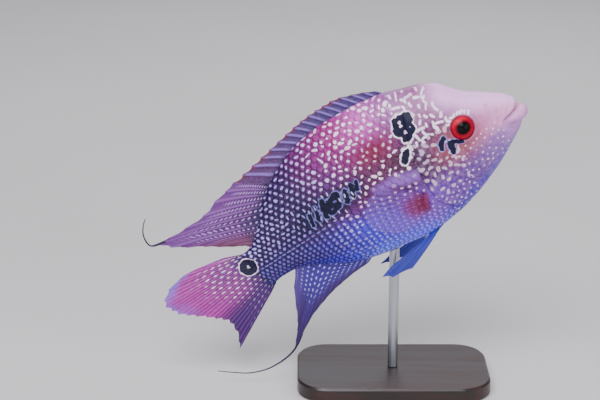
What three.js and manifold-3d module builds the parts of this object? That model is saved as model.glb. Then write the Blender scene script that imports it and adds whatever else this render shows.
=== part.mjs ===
// A life-size still model of a flowerhorn cichlid, head up as it swims, on a flat base with one rod.
// Millimetres, +Z up, +X the way the fish faces, -Y its right flank. The origin is the middle of the base's underside.
// The fish is built in its own frame: the snout tip is the origin, x runs forward along the body, z towards the back.
import * as THREE from "three";
import { mergeVertices } from "three/addons/utils/BufferGeometryUtils.js";
import Module from "manifold-3d";

const wasm = await Module();
wasm.setup();

// Driving dimensions of the body
const GAP = 0.3; // between nodes that touch
const PITCH = THREE.MathUtils.degToRad(31.9); // head-up tilt of the body
const BODY_END = 159; // from the snout to the middle of the tail fin's root
const TRUNK_END = 136.5; // where the tail begins
const RING_POINTS = 44;

// Outlines along the body, as [distance behind the snout, height or half-width]
const BACK = [[1.5, 8.4], [3.4, 10.9], [6.4, 13.1], [12.5, 17.4], [18.6, 21.6], [23.5, 26.6], [28.5, 32.4],
  [35.9, 36.9], [46.1, 40.1], [57.1, 43.8], [72, 45.6], [89.9, 45.7], [104.9, 43.4], [118, 38.2], [130.2, 29.2],
  [140.5, 18], [148.8, 10.4], [153.9, 8.1], [159.1, 7.8]];
const BELLY = [[1.5, -5.2], [5, -8.5], [13, -13.6], [22, -19], [30, -22.7], [37.7, -25.9], [52.2, -30.4],
  [70.9, -32.8], [83.1, -31.6], [94.3, -30.5], [104.6, -28.4], [114.9, -24.8], [130.3, -17.6], [141.7, -13.3],
  [150, -13.2], [159.4, -14.9]];
const WIDEST_AT = [[0, 1.5], [20, 2.5], [40, 2], [60, 1], [100, 3], [130, 0], [150, -2.2], [158, -2.9]];
const HALF_WIDTH = [[1.5, 3.8], [4, 6], [9, 8.4], [16, 10.5], [26, 12.8], [37, 14.9], [50, 16.8], [62, 17.1],
  [76, 16.3], [90, 14.7], [105, 12.2], [120, 9], [135, 6], [146, 4.2], [153, 2.9], [158, 1.5]];
const CREST_POWER = [[0, 0.8], [30, 0.92], [46, 1], [75, 1.15], [158, 1.1]]; // over 1 draws the back to a ridge
const KEEL_POWER = [[0, 0.85], [40, 1], [80, 0.92], [110, 1.1], [158, 1]];
const TAIL_SLANT = [[118, 0], [158, 0.28]]; // how far the tail's rings lean, the lower side forward

// The gill cover's rear edge, as [share of the way from the back to the belly, distance behind the snout]
const GILL_EDGE = [[0, 49], [0.2, 50], [0.36, 54.5], [0.52, 58.4], [0.64, 58.2], [0.76, 53.5], [0.88, 45.5], [1, 38]];
const COVER_RISE = 0.9;
const COVER_LENGTH = 15;
const COVER_GAP = 0.9;

// Head
const EYE = { back: 28.7, height: 10, radius: 6.2, depth: 3.6, sunk: 1.3, clearance: 0.3 };
const ORBIT_RIM = { rise: 0.55, radius: 7.2, width: 1.7 };
const NOSTRIL = { back: 13.4, height: 12.2, radius: 1.0 };
const UPPER_LIP = { front: -2.3, height: 5.9, radius: 2.5, cornerBack: 9.2, cornerHeight: 2.5, halfWidth: 7.6 };
const LOWER_LIP = { front: 0, height: -1.2, radius: 3.3, cornerBack: 9.2, cornerHeight: -0.3, halfWidth: 7.4 };
const MOUTH_CUT = { thickness: 0.6, depth: 9.2, frontHeight: 2.9, backHeight: 1.2 };

// Fins: rays, half thickness of the membrane, half thickness of a ray at its root
const MEMBRANE = 0.28;
const RAY = 0.6;
const THREAD_RADII = [0.6, 0.3];

// Stand
const ROD_RADIUS = 2.6;
const ROD_BACK = 91.5; // where the rod meets the belly, behind the snout
const BASE = { halfLength: 50, halfWidth: 30, corner: 16, height: 8, bevel: 1 };
const FLOOR_BELOW_SNOUT = 148;

// A smooth function through points, with no overshoot between them
function profile(points) {
  const slopes = points.slice(1).map((p, i) => (p[1] - points[i][1]) / (p[0] - points[i][0]));
  const tangents = points.map((_, i) => {
    if (i === 0) return slopes[0];
    if (i === points.length - 1) return slopes[i - 1];
    const [a, b] = [slopes[i - 1], slopes[i]];
    return a * b <= 0 ? 0 : (2 * a * b) / (a + b);
  });
  return (x) => {
    const last = points.length - 1;
    if (x <= points[0][0]) return points[0][1];
    if (x >= points[last][0]) return points[last][1];
    let i = 0;
    while (x > points[i + 1][0]) i += 1;
    const step = points[i + 1][0] - points[i][0];
    const s = (x - points[i][0]) / step;
    const rest = 1 - s;
    return (1 + 2 * s) * rest * rest * points[i][1] + s * rest * rest * step * tangents[i]
      + s * s * (3 - 2 * s) * points[i + 1][1] - s * s * rest * step * tangents[i + 1];
  };
}

const back = profile(BACK);
const belly = profile(BELLY);
const widestAt = profile(WIDEST_AT);
const halfWidth = profile(HALF_WIDTH);
const crestPower = profile(CREST_POWER);
const keelPower = profile(KEEL_POWER);
const tailSlant = profile(TAIL_SLANT);
const gillEdge = profile(GILL_EDGE);
const { clamp, lerp, smoothstep } = THREE.MathUtils;

// A point of the plain body: angle 0 is the back, a quarter turn the left flank, a half turn the belly.
function bodyPoint(behind, angle) {
  const middle = widestAt(behind);
  const up = Math.cos(angle);
  const side = Math.sin(angle);
  const reach = up > 0 ? back(behind) - middle : middle - belly(behind);
  const power = up > 0 ? crestPower(behind) : keelPower(behind);
  const height = middle + reach * up;
  const y = halfWidth(behind) * Math.sign(side) * Math.abs(side) ** power;
  return new THREE.Vector3(-behind - tailSlant(behind) * (height - middle), y, height);
}

function bodyNormal(behind, angle) {
  const step = 0.05;
  const along = bodyPoint(behind - step, angle).sub(bodyPoint(behind + step, angle));
  const around = bodyPoint(behind, angle + step).sub(bodyPoint(behind, angle - step));
  return along.cross(around).normalize();
}

// The angle of the point at a given height on one flank
function angleAt(behind, height, side) {
  const middle = widestAt(behind);
  const reach = height > middle ? back(behind) - middle : middle - belly(behind);
  return side * Math.acos(clamp((height - middle) / reach, -1, 1));
}

const shareRound = (angle) => Math.abs(Math.atan2(Math.sin(angle), Math.cos(angle))) / Math.PI;
const gillAt = (angle) => gillEdge(shareRound(angle));

// The head's relief over the plain body: the gill cover's swell and the rim of the eye
function headRelief(point, behind, angle) {
  const flank = Math.sin(angle) ** 2;
  const ahead = gillAt(angle) - behind;
  const cover = COVER_RISE * flank * (1 - smoothstep(ahead, 3, COVER_LENGTH));
  const fromEye = Math.hypot(point.x + EYE.back, point.z - EYE.height);
  const rim = ORBIT_RIM.rise * Math.exp(-(((fromEye - ORBIT_RIM.radius) / ORBIT_RIM.width) ** 2)) * flank;
  return cover + rim;
}

function headPoint(behind, angle) {
  const point = bodyPoint(behind, angle);
  const relief = headRelief(point, behind, angle);
  return relief > 0 ? point.addScaledVector(bodyNormal(behind, angle), relief) : point;
}

// Meshes and solids
function closedGeometry(positions, faces) {
  return new THREE.BufferGeometry()
    .setAttribute("position", new THREE.Float32BufferAttribute(positions.flatMap((p) => p.toArray()), 3))
    .setIndex(faces.flat());
}

// Rings of points from one end to the other, closed by a fan to a middle point at each end
function loft(rings, firstMiddle, lastMiddle) {
  const count = rings[0].length;
  const faces = [];
  for (let r = 0; r + 1 < rings.length; r += 1) {
    for (let i = 0; i < count; i += 1) {
      const j = (i + 1) % count;
      const [a, b, c, d] = [r * count + i, r * count + j, (r + 1) * count + j, (r + 1) * count + i];
      faces.push([a, b, c], [a, c, d]);
    }
  }
  const first = rings.length * count;
  const lastRing = (rings.length - 1) * count;
  for (let i = 0; i < count; i += 1) {
    const j = (i + 1) % count;
    faces.push([first, j, i], [first + 1, lastRing + i, lastRing + j]);
  }
  return closedGeometry([...rings.flat(), firstMiddle, lastMiddle], faces);
}

function solidOf(geometry) {
  const bare = geometry.clone();
  bare.deleteAttribute("normal");
  bare.deleteAttribute("uv");
  const merged = mergeVertices(bare, 1e-4);
  const solid = new wasm.Manifold(new wasm.Mesh({
    numProp: 3,
    vertProperties: merged.attributes.position.array,
    triVerts: new Uint32Array(merged.index.array),
  }));
  if (solid.volume() > 0) return solid;
  const turned = merged.index.array.slice();
  for (let i = 0; i < turned.length; i += 3) [turned[i], turned[i + 1]] = [turned[i + 1], turned[i]];
  return solidOf(closedArrays(merged.attributes.position.array, turned));
}

function closedArrays(positions, index) {
  return new THREE.BufferGeometry()
    .setAttribute("position", new THREE.Float32BufferAttribute(positions, 3))
    .setIndex(Array.from(index));
}

// The largest closed surface of a solid, as a geometry
function geometryOf(solid) {
  const largest = solid.decompose().reduce((a, b) => (a.volume() > b.volume() ? a : b));
  const mesh = largest.getMesh();
  const positions = [];
  for (let i = 0; i < mesh.numVert; i += 1) {
    positions.push(...mesh.vertProperties.subarray(i * mesh.numProp, i * mesh.numProp + 3));
  }
  return closedArrays(positions, mesh.triVerts);
}

function ellipsoid(centre, normal, across, deep, columns = 20, rows = 12) {
  const turn = new THREE.Quaternion().setFromUnitVectors(new THREE.Vector3(0, 1, 0), normal);
  const matrix = new THREE.Matrix4().compose(centre, turn, new THREE.Vector3(across, deep, across));
  return new THREE.SphereGeometry(1, columns, rows).applyMatrix4(matrix);
}

// A round tapered tube through points
function taperedTube(points, radius, sides, steps) {
  const path = new THREE.CatmullRomCurve3(points, false, "centripetal");
  const frames = path.computeFrenetFrames(steps, false);
  const rings = [];
  for (let k = 0; k <= steps; k += 1) {
    const at = path.getPointAt(k / steps);
    const r = radius(k / steps);
    rings.push(Array.from({ length: sides }, (_, i) => {
      const a = (2 * Math.PI * i) / sides;
      return at.clone().addScaledVector(frames.normals[k], r * Math.cos(a))
        .addScaledVector(frames.binormals[k], r * Math.sin(a));
    }));
  }
  return loft(rings, path.getPointAt(0), path.getPointAt(1));
}

// Body nodes: rings whose distance behind the snout is a share of the way between two edges
function bodySection(from, to, shares, surface, firstCap, lastCap) {
  const rings = shares.map((share) => Array.from({ length: RING_POINTS }, (_, i) => {
    const angle = (2 * Math.PI * i) / RING_POINTS;
    return surface(lerp(from(angle), to(angle), share), angle);
  }));
  return loft(rings, firstCap, lastCap);
}

const evenly = (steps, power = 1) => Array.from({ length: steps + 1 }, (_, k) => (k / steps) ** power);
const middleOf = (behind) => new THREE.Vector3(-behind, 0, widestAt(behind));
const GILL_MIDDLE = 50;
const SNOUT_START = 1.5;

function lipTube(lip, steps = 16) {
  const points = [];
  for (let k = 0; k <= steps; k += 1) {
    const s = (2 * k) / steps - 1;
    points.push(new THREE.Vector3(
      lip.front - (lip.cornerBack + lip.front) * Math.abs(s) ** 2.2,
      lip.halfWidth * Math.sin((s * Math.PI) / 2),
      lerp(lip.height, lip.cornerHeight, Math.abs(s) ** 1.4),
    ));
  }
  const radius = (share) => lip.radius * (1 - 0.62 * Math.abs(2 * share - 1) ** 2.4);
  return taperedTube(points, radius, 10, 18);
}

function mouthCut() {
  const run = MOUTH_CUT.depth + 4;
  const slope = Math.atan2(MOUTH_CUT.frontHeight - MOUTH_CUT.backHeight, MOUTH_CUT.depth);
  return new THREE.BoxGeometry(run, 30, MOUTH_CUT.thickness)
    .translate(run / 2, 0, 0)
    .rotateY(-slope)
    .translate(-MOUTH_CUT.depth, 0, MOUTH_CUT.backHeight);
}

function eyePlace(side) {
  const angle = angleAt(EYE.back, EYE.height, side);
  const normal = bodyNormal(EYE.back, angle);
  return { normal, centre: bodyPoint(EYE.back, angle).addScaledVector(normal, -EYE.sunk) };
}

const eyeball = (side, extra = 0) => {
  const { centre, normal } = eyePlace(side);
  return ellipsoid(centre, normal, EYE.radius + extra, EYE.depth + extra);
};

function nostril(side) {
  const angle = angleAt(NOSTRIL.back, NOSTRIL.height, side);
  return new THREE.SphereGeometry(NOSTRIL.radius, 10, 8).translate(...bodyPoint(NOSTRIL.back, angle).toArray());
}

function headGeometry() {
  const shares = evenly(25).map((s) => s ** 1.12);
  const shell = bodySection(() => SNOUT_START, gillAt, shares, headPoint,
    middleOf(SNOUT_START), middleOf(GILL_MIDDLE));
  let head = solidOf(shell).add(solidOf(lipTube(UPPER_LIP))).add(solidOf(lipTube(LOWER_LIP)));
  head = head.subtract(solidOf(mouthCut()));
  for (const side of [-1, 1]) {
    head = head.subtract(solidOf(eyeball(side, EYE.clearance))).subtract(solidOf(nostril(side)));
  }
  return geometryOf(head);
}

const trunkGeometry = () => bodySection((angle) => gillAt(angle) + COVER_GAP, () => TRUNK_END, evenly(19),
  bodyPoint, middleOf(GILL_MIDDLE + COVER_GAP), middleOf(TRUNK_END));

const tailGeometry = () => bodySection(() => TRUNK_END + GAP, () => BODY_END, evenly(8), bodyPoint,
  middleOf(TRUNK_END + GAP), middleOf(BODY_END));

// Fins. A fin is a sheet of rays: root(u), bend(u) and tip(u) give each ray's curve, u running from the first
// ray to the last. Rays are ridges raised on both faces, and both faces are split into the same triangles.
function finGeometry({ rays, rows, root, bend, tip, notch = 0.03, ray = RAY, membrane = MEMBRANE, tipShare = 0.45 }) {
  const columns = 2 * rays - 1;
  const at = (u, v) => {
    const rest = 1 - v;
    return root(u).multiplyScalar(rest * rest).addScaledVector(bend(u), 2 * v * rest).addScaledVector(tip(u), v * v);
  };
  const sheets = [[], []];
  for (let c = 0; c < columns; c += 1) {
    const onRay = c % 2 === 0;
    const u = c / (columns - 1);
    for (let r = 0; r <= rows; r += 1) {
      const v = (r / rows) * (onRay ? 1 : 1 - notch);
      const step = 0.01;
      const across = at(Math.min(u + step, 1), v).sub(at(Math.max(u - step, 0), v));
      const along = at(u, Math.min(v + step, 1)).sub(at(u, Math.max(v - step, 0)));
      const normal = across.cross(along).normalize();
      const half = (onRay ? ray : membrane) * lerp(1, tipShare, v);
      sheets[0].push(at(u, v).addScaledVector(normal, half));
      sheets[1].push(at(u, v).addScaledVector(normal, -half));
    }
  }
  const perColumn = rows + 1;
  const sheetSize = columns * perColumn;
  const faces = [];
  for (let c = 0; c + 1 < columns; c += 1) {
    for (let r = 0; r < rows; r += 1) {
      const [a, b] = [c * perColumn + r, c * perColumn + r + 1];
      const [d, e] = [a + perColumn, b + perColumn];
      faces.push([a, d, e], [a, e, b]);
      faces.push([a + sheetSize, e + sheetSize, d + sheetSize], [a + sheetSize, b + sheetSize, e + sheetSize]);
    }
  }
  const rim = [];
  for (let r = 0; r < rows; r += 1) rim.push(r);
  for (let c = 0; c + 1 < columns; c += 1) rim.push(c * perColumn + rows);
  for (let r = rows; r > 0; r -= 1) rim.push((columns - 1) * perColumn + r);
  for (let c = columns - 1; c > 0; c -= 1) rim.push(c * perColumn);
  rim.forEach((a, i) => {
    const b = rim[(i + 1) % rim.length];
    faces.push([a, b, b + sheetSize], [a, b + sheetSize, a + sheetSize]);
  });
  return closedGeometry([...sheets[0], ...sheets[1]], faces);
}

// A path through [u, x, y, z] points
function track(points) {
  const [x, y, z] = [1, 2, 3].map((k) => profile(points.map((p) => [p[0], p[k]])));
  return (u) => new THREE.Vector3(x(u), y(u), z(u));
}

const midway = (root, tip, lift) => (u) => root(u).add(tip(u)).multiplyScalar(0.5).add(lift);

// The long thread that the tip of a fin is drawn out to
function thread(points) {
  const radius = (s) => lerp(THREAD_RADII[0], THREAD_RADII[1], s);
  return geometryOf(solidOf(taperedTube(points.map((p) => new THREE.Vector3(...p)), radius, 6, 16)));
}

// Dorsal fin: a low spiny part with its spines laid back, and a soft part drawn out to a curled thread
const SPINY = { from: 53, to: 125.6, spines: 17 };
const SPINY_TIPS = [[0, -57.2, 0, 45.8], [0.1, -66.1, 0, 49.8], [0.25, -79.1, 0, 53.3], [0.42, -91, 0, 53],
  [0.6, -104.9, 0, 50.8], [0.78, -121, 0.4, 47.2], [1, -141.5, 1, 43]];
const SOFT = { from: 126.6, to: 151.4, rays: 13 };
const SOFT_TIPS = [[0, -142.8, 1.1, 42.6], [0.14, -153.7, 1.6, 39.6], [0.27, -169.2, 2.6, 35.3],
  [0.39, -184.9, 3.6, 34.3], [0.5, -197.5, 4.6, 35.2], [0.59, -190.2, 4, 29], [0.69, -179.8, 3.2, 23.4],
  [0.8, -170.5, 2.3, 18.4], [0.92, -161.7, 1.2, 13.3], [1, -156.5, 0.8, 11]];
const DORSAL_THREAD = [[-198.7, 4.7, 35.8], [-199.3, 5.2, 38.4], [-198.9, 5.7, 41.4], [-197.4, 6.1, 44.4],
  [-195.7, 6.4, 46.5], [-193.2, 6.7, 48.6]];

const onBack = (from, to) => (u) => {
  const behind = lerp(from, to, u);
  const ridge = bodyPoint(behind, 0);
  return ridge.addScaledVector(bodyNormal(behind, 0), GAP * 1.1);
};

function spinyDorsal() {
  const root = onBack(SPINY.from, SPINY.to);
  const tip = track(SPINY_TIPS);
  return finGeometry({ rays: SPINY.spines, rows: 5, root, tip, bend: midway(root, tip, new THREE.Vector3(0, 0, 0.8)),
    notch: 0.09, ray: 0.7 });
}

function softDorsal() {
  const root = onBack(SOFT.from, SOFT.to);
  const tip = track(SOFT_TIPS);
  return finGeometry({ rays: SOFT.rays, rows: 11, root, tip,
    bend: midway(root, tip, new THREE.Vector3(0, 0, 1.4)) });
}

// Anal fin: swept back like the dorsal, with a long thread
const ANAL = { from: 102.8, to: 142.1, rays: 15 };
const ANAL_TIPS = [[0, -109.2, 0, -30.6], [0.13, -119, 0, -31.6], [0.28, -131.4, -0.4, -34.4],
  [0.43, -144, -0.9, -38.7], [0.55, -156.6, -1.6, -45.8], [9 / 14, -164.5, -2.2, -50.6],
  [0.74, -160.1, -1.8, -45.2], [0.85, -155.4, -1.4, -38.8], [0.93, -150.8, -0.8, -29.9],
  [1, -146.3, -0.4, -20.9]];
const ANAL_THREAD = [[-165.7, -2.4, -51], [-169.6, -2.9, -51.9], [-174.5, -3.5, -52.3], [-179.8, -4.1, -52],
  [-185.7, -4.8, -50.5], [-191.5, -5.4, -47.8], [-197, -6, -43.7], [-204, -6.5, -38]];

function analFin() {
  const root = (u) => {
    const behind = lerp(ANAL.from, ANAL.to, u);
    return bodyPoint(behind, Math.PI).addScaledVector(bodyNormal(behind, Math.PI), GAP * 1.2);
  };
  const tip = track(ANAL_TIPS);
  return finGeometry({ rays: ANAL.rays, rows: 10, root, tip,
    bend: midway(root, tip, new THREE.Vector3(0, 0, -1.2)) });
}

// Tail fin: a long upper lobe and a short pointed lower one that turns away from the right flank
const CAUDAL = { rays: 17, rows: 11 };
const CAUDAL_TIPS = [[0, -169.5, 0, 11.4], [0.05, -189.2, -0.6, 14.3], [0.12, -201.7, -1.4, 12.2],
  [0.22, -208.6, -2, 6.4], [0.35, -206.4, -1.6, -0.8], [0.48, -199.4, -0.6, -7.8], [0.6, -192.4, 0.6, -14.2],
  [0.72, -186.9, 1.8, -20], [0.82, -185.8, 2.8, -26.8], [15 / 16, -190.5, 3.6, -37.4], [0.975, -178.7, 2.2, -30.5],
  [1, -166.4, 1, -22.8]];

function caudalFin() {
  const root = (u) => {
    const angle = Math.PI * u;
    return bodyPoint(BODY_END, angle).setY(0).add(new THREE.Vector3(-GAP * 1.3, 0, 0));
  };
  const tip = track(CAUDAL_TIPS);
  return finGeometry({ rays: CAUDAL.rays, rows: CAUDAL.rows, root: (u) => root(0.06 + 0.88 * u), tip,
    bend: midway(root, tip, new THREE.Vector3(0, 0, 0)), ray: 0.65 });
}

// Pectoral fins: fans on the flanks just behind the gill covers
const PECTORAL = { rays: 11, rows: 6, topBack: 61, topHeight: -8.6, lowBack: 64.4, lowHeight: -17.2, stand: 1.25 };
const PECTORAL_LENGTH = [[0, 25], [0.25, 33], [0.45, 35], [0.7, 29], [1, 17]];
const PECTORAL_RISE = [[0, 44], [1, -6]]; // degrees above the body axis
const PECTORAL_SPLAY = [[0, 17], [1, 26]]; // degrees out from the flank

function pectoralFin(side) {
  const length = profile(PECTORAL_LENGTH);
  const rise = profile(PECTORAL_RISE);
  const splay = profile(PECTORAL_SPLAY);
  const root = (u) => {
    const behind = lerp(PECTORAL.topBack, PECTORAL.lowBack, u);
    const angle = angleAt(behind, lerp(PECTORAL.topHeight, PECTORAL.lowHeight, u), side);
    return bodyPoint(behind, angle).addScaledVector(bodyNormal(behind, angle), PECTORAL.stand);
  };
  const reach = (u, share) => {
    const [up, out] = [rise(u), splay(u)].map(THREE.MathUtils.degToRad);
    const run = length(u) * share;
    return root(u).add(new THREE.Vector3(-run * Math.cos(out) * Math.cos(up), side * run * Math.sin(out),
      run * Math.cos(out) * Math.sin(up)));
  };
  return finGeometry({ rays: PECTORAL.rays, rows: PECTORAL.rows, root, tip: (u) => reach(u, 1),
    bend: (u) => reach(u, 0.5).add(new THREE.Vector3(0, side * 1.5, 0)), ray: 0.5, tipShare: 0.55 });
}

// Pelvic fins: folded back along the belly, one spine and five rays each
const PELVIC = { rays: 6, rows: 8, frontBack: 63.5, rearBack: 69.5, frontOut: 5.2, rearOut: 3.6, stand: 0.95 };
const PELVIC_TIPS = [[0, -88, 10.5, -41.4], [0.2, -99, 10.8, -40.2], [0.4, -103.5, 10, -37.6],
  [0.65, -95, 8, -35.2], [1, -84, 5.4, -34]];

function pelvicFin(side) {
  const tips = track(PELVIC_TIPS);
  const root = (u) => {
    const behind = lerp(PELVIC.frontBack, PELVIC.rearBack, u);
    const out = lerp(PELVIC.frontOut, PELVIC.rearOut, u);
    const turn = Math.asin((out / halfWidth(behind)) ** (1 / keelPower(behind)));
    const angle = side * (Math.PI - turn);
    return bodyPoint(behind, angle).addScaledVector(bodyNormal(behind, angle), PELVIC.stand);
  };
  const tip = (u) => tips(u).multiply(new THREE.Vector3(1, side, 1));
  return finGeometry({ rays: PELVIC.rays, rows: PELVIC.rows, root, tip,
    bend: midway(root, tip, new THREE.Vector3(0, side, -1)), tipShare: 0.5 });
}

// Stand: a flat base with rounded corners, and a rod whose top follows the belly
const ROD_TOP = new THREE.Vector3(-ROD_BACK, 0, belly(ROD_BACK));
const tilt = new THREE.Matrix4().makeRotationY(-PITCH);
const rodTopWorld = ROD_TOP.clone().applyMatrix4(tilt);
const SNOUT = new THREE.Vector3(-rodTopWorld.x, 0, FLOOR_BELOW_SNOUT);
const fishMatrix = tilt.clone().setPosition(SNOUT);

function baseGeometry() {
  const { halfLength: a, halfWidth: b, corner: r, height, bevel } = BASE;
  const shape = new THREE.Shape();
  const arc = (x, y, from) => shape.absarc(x, y, r - bevel, from, from + Math.PI / 2, false);
  arc(a - r, b - r, 0);
  arc(r - a, b - r, Math.PI / 2);
  arc(r - a, r - b, Math.PI);
  arc(a - r, r - b, -Math.PI / 2);
  return geometryOf(solidOf(new THREE.ExtrudeGeometry(shape, { depth: height - 2 * bevel, bevelEnabled: true,
    bevelThickness: bevel, bevelSize: bevel, bevelSegments: 1, curveSegments: 6 }).translate(0, 0, bevel)));
}

function rodGeometry() {
  const foot = BASE.height + GAP;
  const reach = SNOUT.z + rodTopWorld.z + 12 - foot;
  const rod = solidOf(new THREE.CylinderGeometry(ROD_RADIUS, ROD_RADIUS, reach, 20)
    .rotateX(Math.PI / 2).translate(0, 0, foot + reach / 2));
  const clear = (behind, angle) => bodyPoint(behind, angle).addScaledVector(bodyNormal(behind, angle), GAP);
  const bellySolid = solidOf(bodySection(() => ROD_BACK - 15, () => ROD_BACK + 15, evenly(8), clear,
    middleOf(ROD_BACK - 15), middleOf(ROD_BACK + 15)).applyMatrix4(fishMatrix));
  const parts = rod.subtract(bellySolid).decompose();
  return geometryOf(parts.reduce((a, b) => (a.boundingBox().min[2] < b.boundingBox().min[2] ? a : b)));
}

// The model
const fish = new THREE.Group();
fish.applyMatrix4(fishMatrix);
const model = new THREE.Group();
model.add(fish);

function place(parent, name, geometry, color, roughness, metalness = 0) {
  const mesh = new THREE.Mesh(geometry, new THREE.MeshStandardMaterial({ color, roughness, metalness }));
  mesh.name = name;
  parent.add(mesh);
}

place(fish, "head", headGeometry(), 0xc9a3c8, 0.35);
place(fish, "trunk", trunkGeometry(), 0x8a5ca6, 0.35);
place(fish, "tail", tailGeometry(), 0x4b3f8c, 0.35);
place(fish, "dorsal_fin_spiny", spinyDorsal(), 0x8a74b8, 0.4);
place(fish, "dorsal_fin_soft", softDorsal(), 0x9a5a9c, 0.4);
place(fish, "dorsal_fin_thread", thread(DORSAL_THREAD), 0x6a4a78, 0.4);
place(fish, "anal_fin", analFin(), 0x4a4096, 0.4);
place(fish, "anal_fin_thread", thread(ANAL_THREAD), 0x3a3060, 0.4);
place(fish, "caudal_fin", caudalFin(), 0xa8489a, 0.4);
for (const [hand, side] of [["left", 1], ["right", -1]]) {
  place(fish, `pectoral_fin_${hand}`, pectoralFin(side), 0xb59ad8, 0.35);
  place(fish, `pelvic_fin_${hand}`, pelvicFin(side), 0x3c468f, 0.4);
  place(fish, `eye_${hand}`, eyeball(side), 0xe0263a, 0.08);
}
place(model, "stand_base", baseGeometry(), 0x2a2422, 0.45);
place(model, "stand_rod", rodGeometry(), 0xb8b8bc, 0.25, 0.9);

export default model;
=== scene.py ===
# A flowerhorn cichlid as a life-size still model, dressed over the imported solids.
# Body shapes are worked out in millimetres in the fish's own frame: the snout tip is the origin,
# x runs forward along the body, y to its left and z towards its back.
import math

import bpy
import numpy as np
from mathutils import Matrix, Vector


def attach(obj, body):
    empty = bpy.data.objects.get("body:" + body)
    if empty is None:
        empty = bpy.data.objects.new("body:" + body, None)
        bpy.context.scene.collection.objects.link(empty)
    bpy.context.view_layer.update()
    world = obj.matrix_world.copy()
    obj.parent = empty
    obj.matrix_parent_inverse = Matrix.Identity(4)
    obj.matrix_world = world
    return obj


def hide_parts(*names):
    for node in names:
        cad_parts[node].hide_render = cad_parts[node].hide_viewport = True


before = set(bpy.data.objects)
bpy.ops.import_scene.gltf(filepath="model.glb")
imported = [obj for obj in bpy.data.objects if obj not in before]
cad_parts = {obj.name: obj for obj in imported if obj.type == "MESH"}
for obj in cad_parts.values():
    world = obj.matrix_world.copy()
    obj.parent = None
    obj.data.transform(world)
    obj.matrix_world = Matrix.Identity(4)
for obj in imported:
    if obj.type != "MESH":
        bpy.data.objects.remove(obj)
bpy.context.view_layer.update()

# Driving sizes, the same as the solids'
PITCH = math.radians(31.9)
ROD_BACK = 91.5
FLOOR_BELOW_SNOUT = 148.0
BODY_END = 159.0
SNOUT_START = 1.5
BACK = [(1.5, 8.4), (3.4, 10.9), (6.4, 13.1), (12.5, 17.4), (18.6, 21.6), (23.5, 26.6), (28.5, 32.4),
        (35.9, 36.9), (46.1, 40.1), (57.1, 43.8), (72, 45.6), (89.9, 45.7), (104.9, 43.4), (118, 38.2),
        (130.2, 29.2), (140.5, 18), (148.8, 10.4), (153.9, 8.1), (159.1, 7.8)]
BELLY = [(1.5, -5.2), (5, -8.5), (13, -13.6), (22, -19), (30, -22.7), (37.7, -25.9), (52.2, -30.4),
         (70.9, -32.8), (83.1, -31.6), (94.3, -30.5), (104.6, -28.4), (114.9, -24.8), (130.3, -17.6),
         (141.7, -13.3), (150, -13.2), (159.4, -14.9)]
WIDEST_AT = [(0, 1.5), (20, 2.5), (40, 2), (60, 1), (100, 3), (130, 0), (150, -2.2), (158, -2.9)]
HALF_WIDTH = [(1.5, 3.8), (4, 6), (9, 8.4), (16, 10.5), (26, 12.8), (37, 14.9), (50, 16.8), (62, 17.1),
              (76, 16.3), (90, 14.7), (105, 12.2), (120, 9), (135, 6), (146, 4.2), (153, 2.9), (158, 1.5)]
CREST_POWER = [(0, 0.8), (30, 0.92), (46, 1), (75, 1.15), (158, 1.1)]
KEEL_POWER = [(0, 0.85), (40, 1), (80, 0.92), (110, 1.1), (158, 1)]
TAIL_SLANT = [(118, 0), (158, 0.28)]
GILL_EDGE = [(0, 49), (0.2, 50), (0.36, 54.5), (0.52, 58.4), (0.64, 58.2), (0.76, 53.5), (0.88, 45.5),
             (1, 38)]


def profile(points):
    """A smooth function through points, with no overshoot between them."""
    xs, ys = np.array(points, float).T
    steps = np.diff(xs)
    slopes = np.diff(ys) / steps
    tangents = np.empty(len(xs))
    tangents[0], tangents[-1] = slopes[0], slopes[-1]
    before, after = slopes[:-1], slopes[1:]
    level = before * after <= 0
    total = np.where(level, 1, before + after)
    tangents[1:-1] = np.where(level, 0, 2 * before * after / total)

    def value(x):
        x = np.clip(np.asarray(x, float), xs[0], xs[-1])
        i = np.clip(np.searchsorted(xs, x, side="right") - 1, 0, len(steps) - 1)
        step = steps[i]
        s = (x - xs[i]) / step
        rest = 1 - s
        return ((1 + 2 * s) * rest * rest * ys[i] + s * rest * rest * step * tangents[i]
                + s * s * (3 - 2 * s) * ys[i + 1] - s * s * rest * step * tangents[i + 1])

    return value


back, belly, widest_at, half_width = (profile(p) for p in (BACK, BELLY, WIDEST_AT, HALF_WIDTH))
crest_power, keel_power, tail_slant = (profile(p) for p in (CREST_POWER, KEEL_POWER, TAIL_SLANT))
gill_edge = profile(GILL_EDGE)


def smoothstep(x, low, high):
    t = np.clip((x - low) / (high - low), 0, 1)
    return t * t * (3 - 2 * t)


def lerp(a, b, t):
    return a + (b - a) * t


def bell(distance, width):
    """1 at no distance, falling softly to 0 within a few widths."""
    return np.exp(-(distance / width) ** 2)


def unit(vectors):
    return vectors / np.maximum(np.linalg.norm(vectors, axis=-1, keepdims=True), 1e-12)


def height_share(behind, height):
    """Height on the body, from -1 at the belly through 0 at its widest to 1 at the back."""
    middle = widest_at(behind)
    reach = np.where(height > middle, back(behind) - middle, middle - belly(behind))
    return (height - middle) / np.maximum(reach, 1)


def body_points(behind, angle):
    """Points of the plain body: angle 0 is the back, a quarter turn the left flank, a half turn the belly."""
    behind, angle = np.broadcast_arrays(np.asarray(behind, float), np.asarray(angle, float))
    middle = widest_at(behind)
    up, side = np.cos(angle), np.sin(angle)
    reach = np.where(up > 0, back(behind) - middle, middle - belly(behind))
    power = np.where(up > 0, crest_power(behind), keel_power(behind))
    height = middle + reach * up
    y = half_width(behind) * np.sign(side) * np.abs(side) ** power
    return np.stack([-behind - tail_slant(behind) * (height - middle), y, height], axis=-1)


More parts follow.
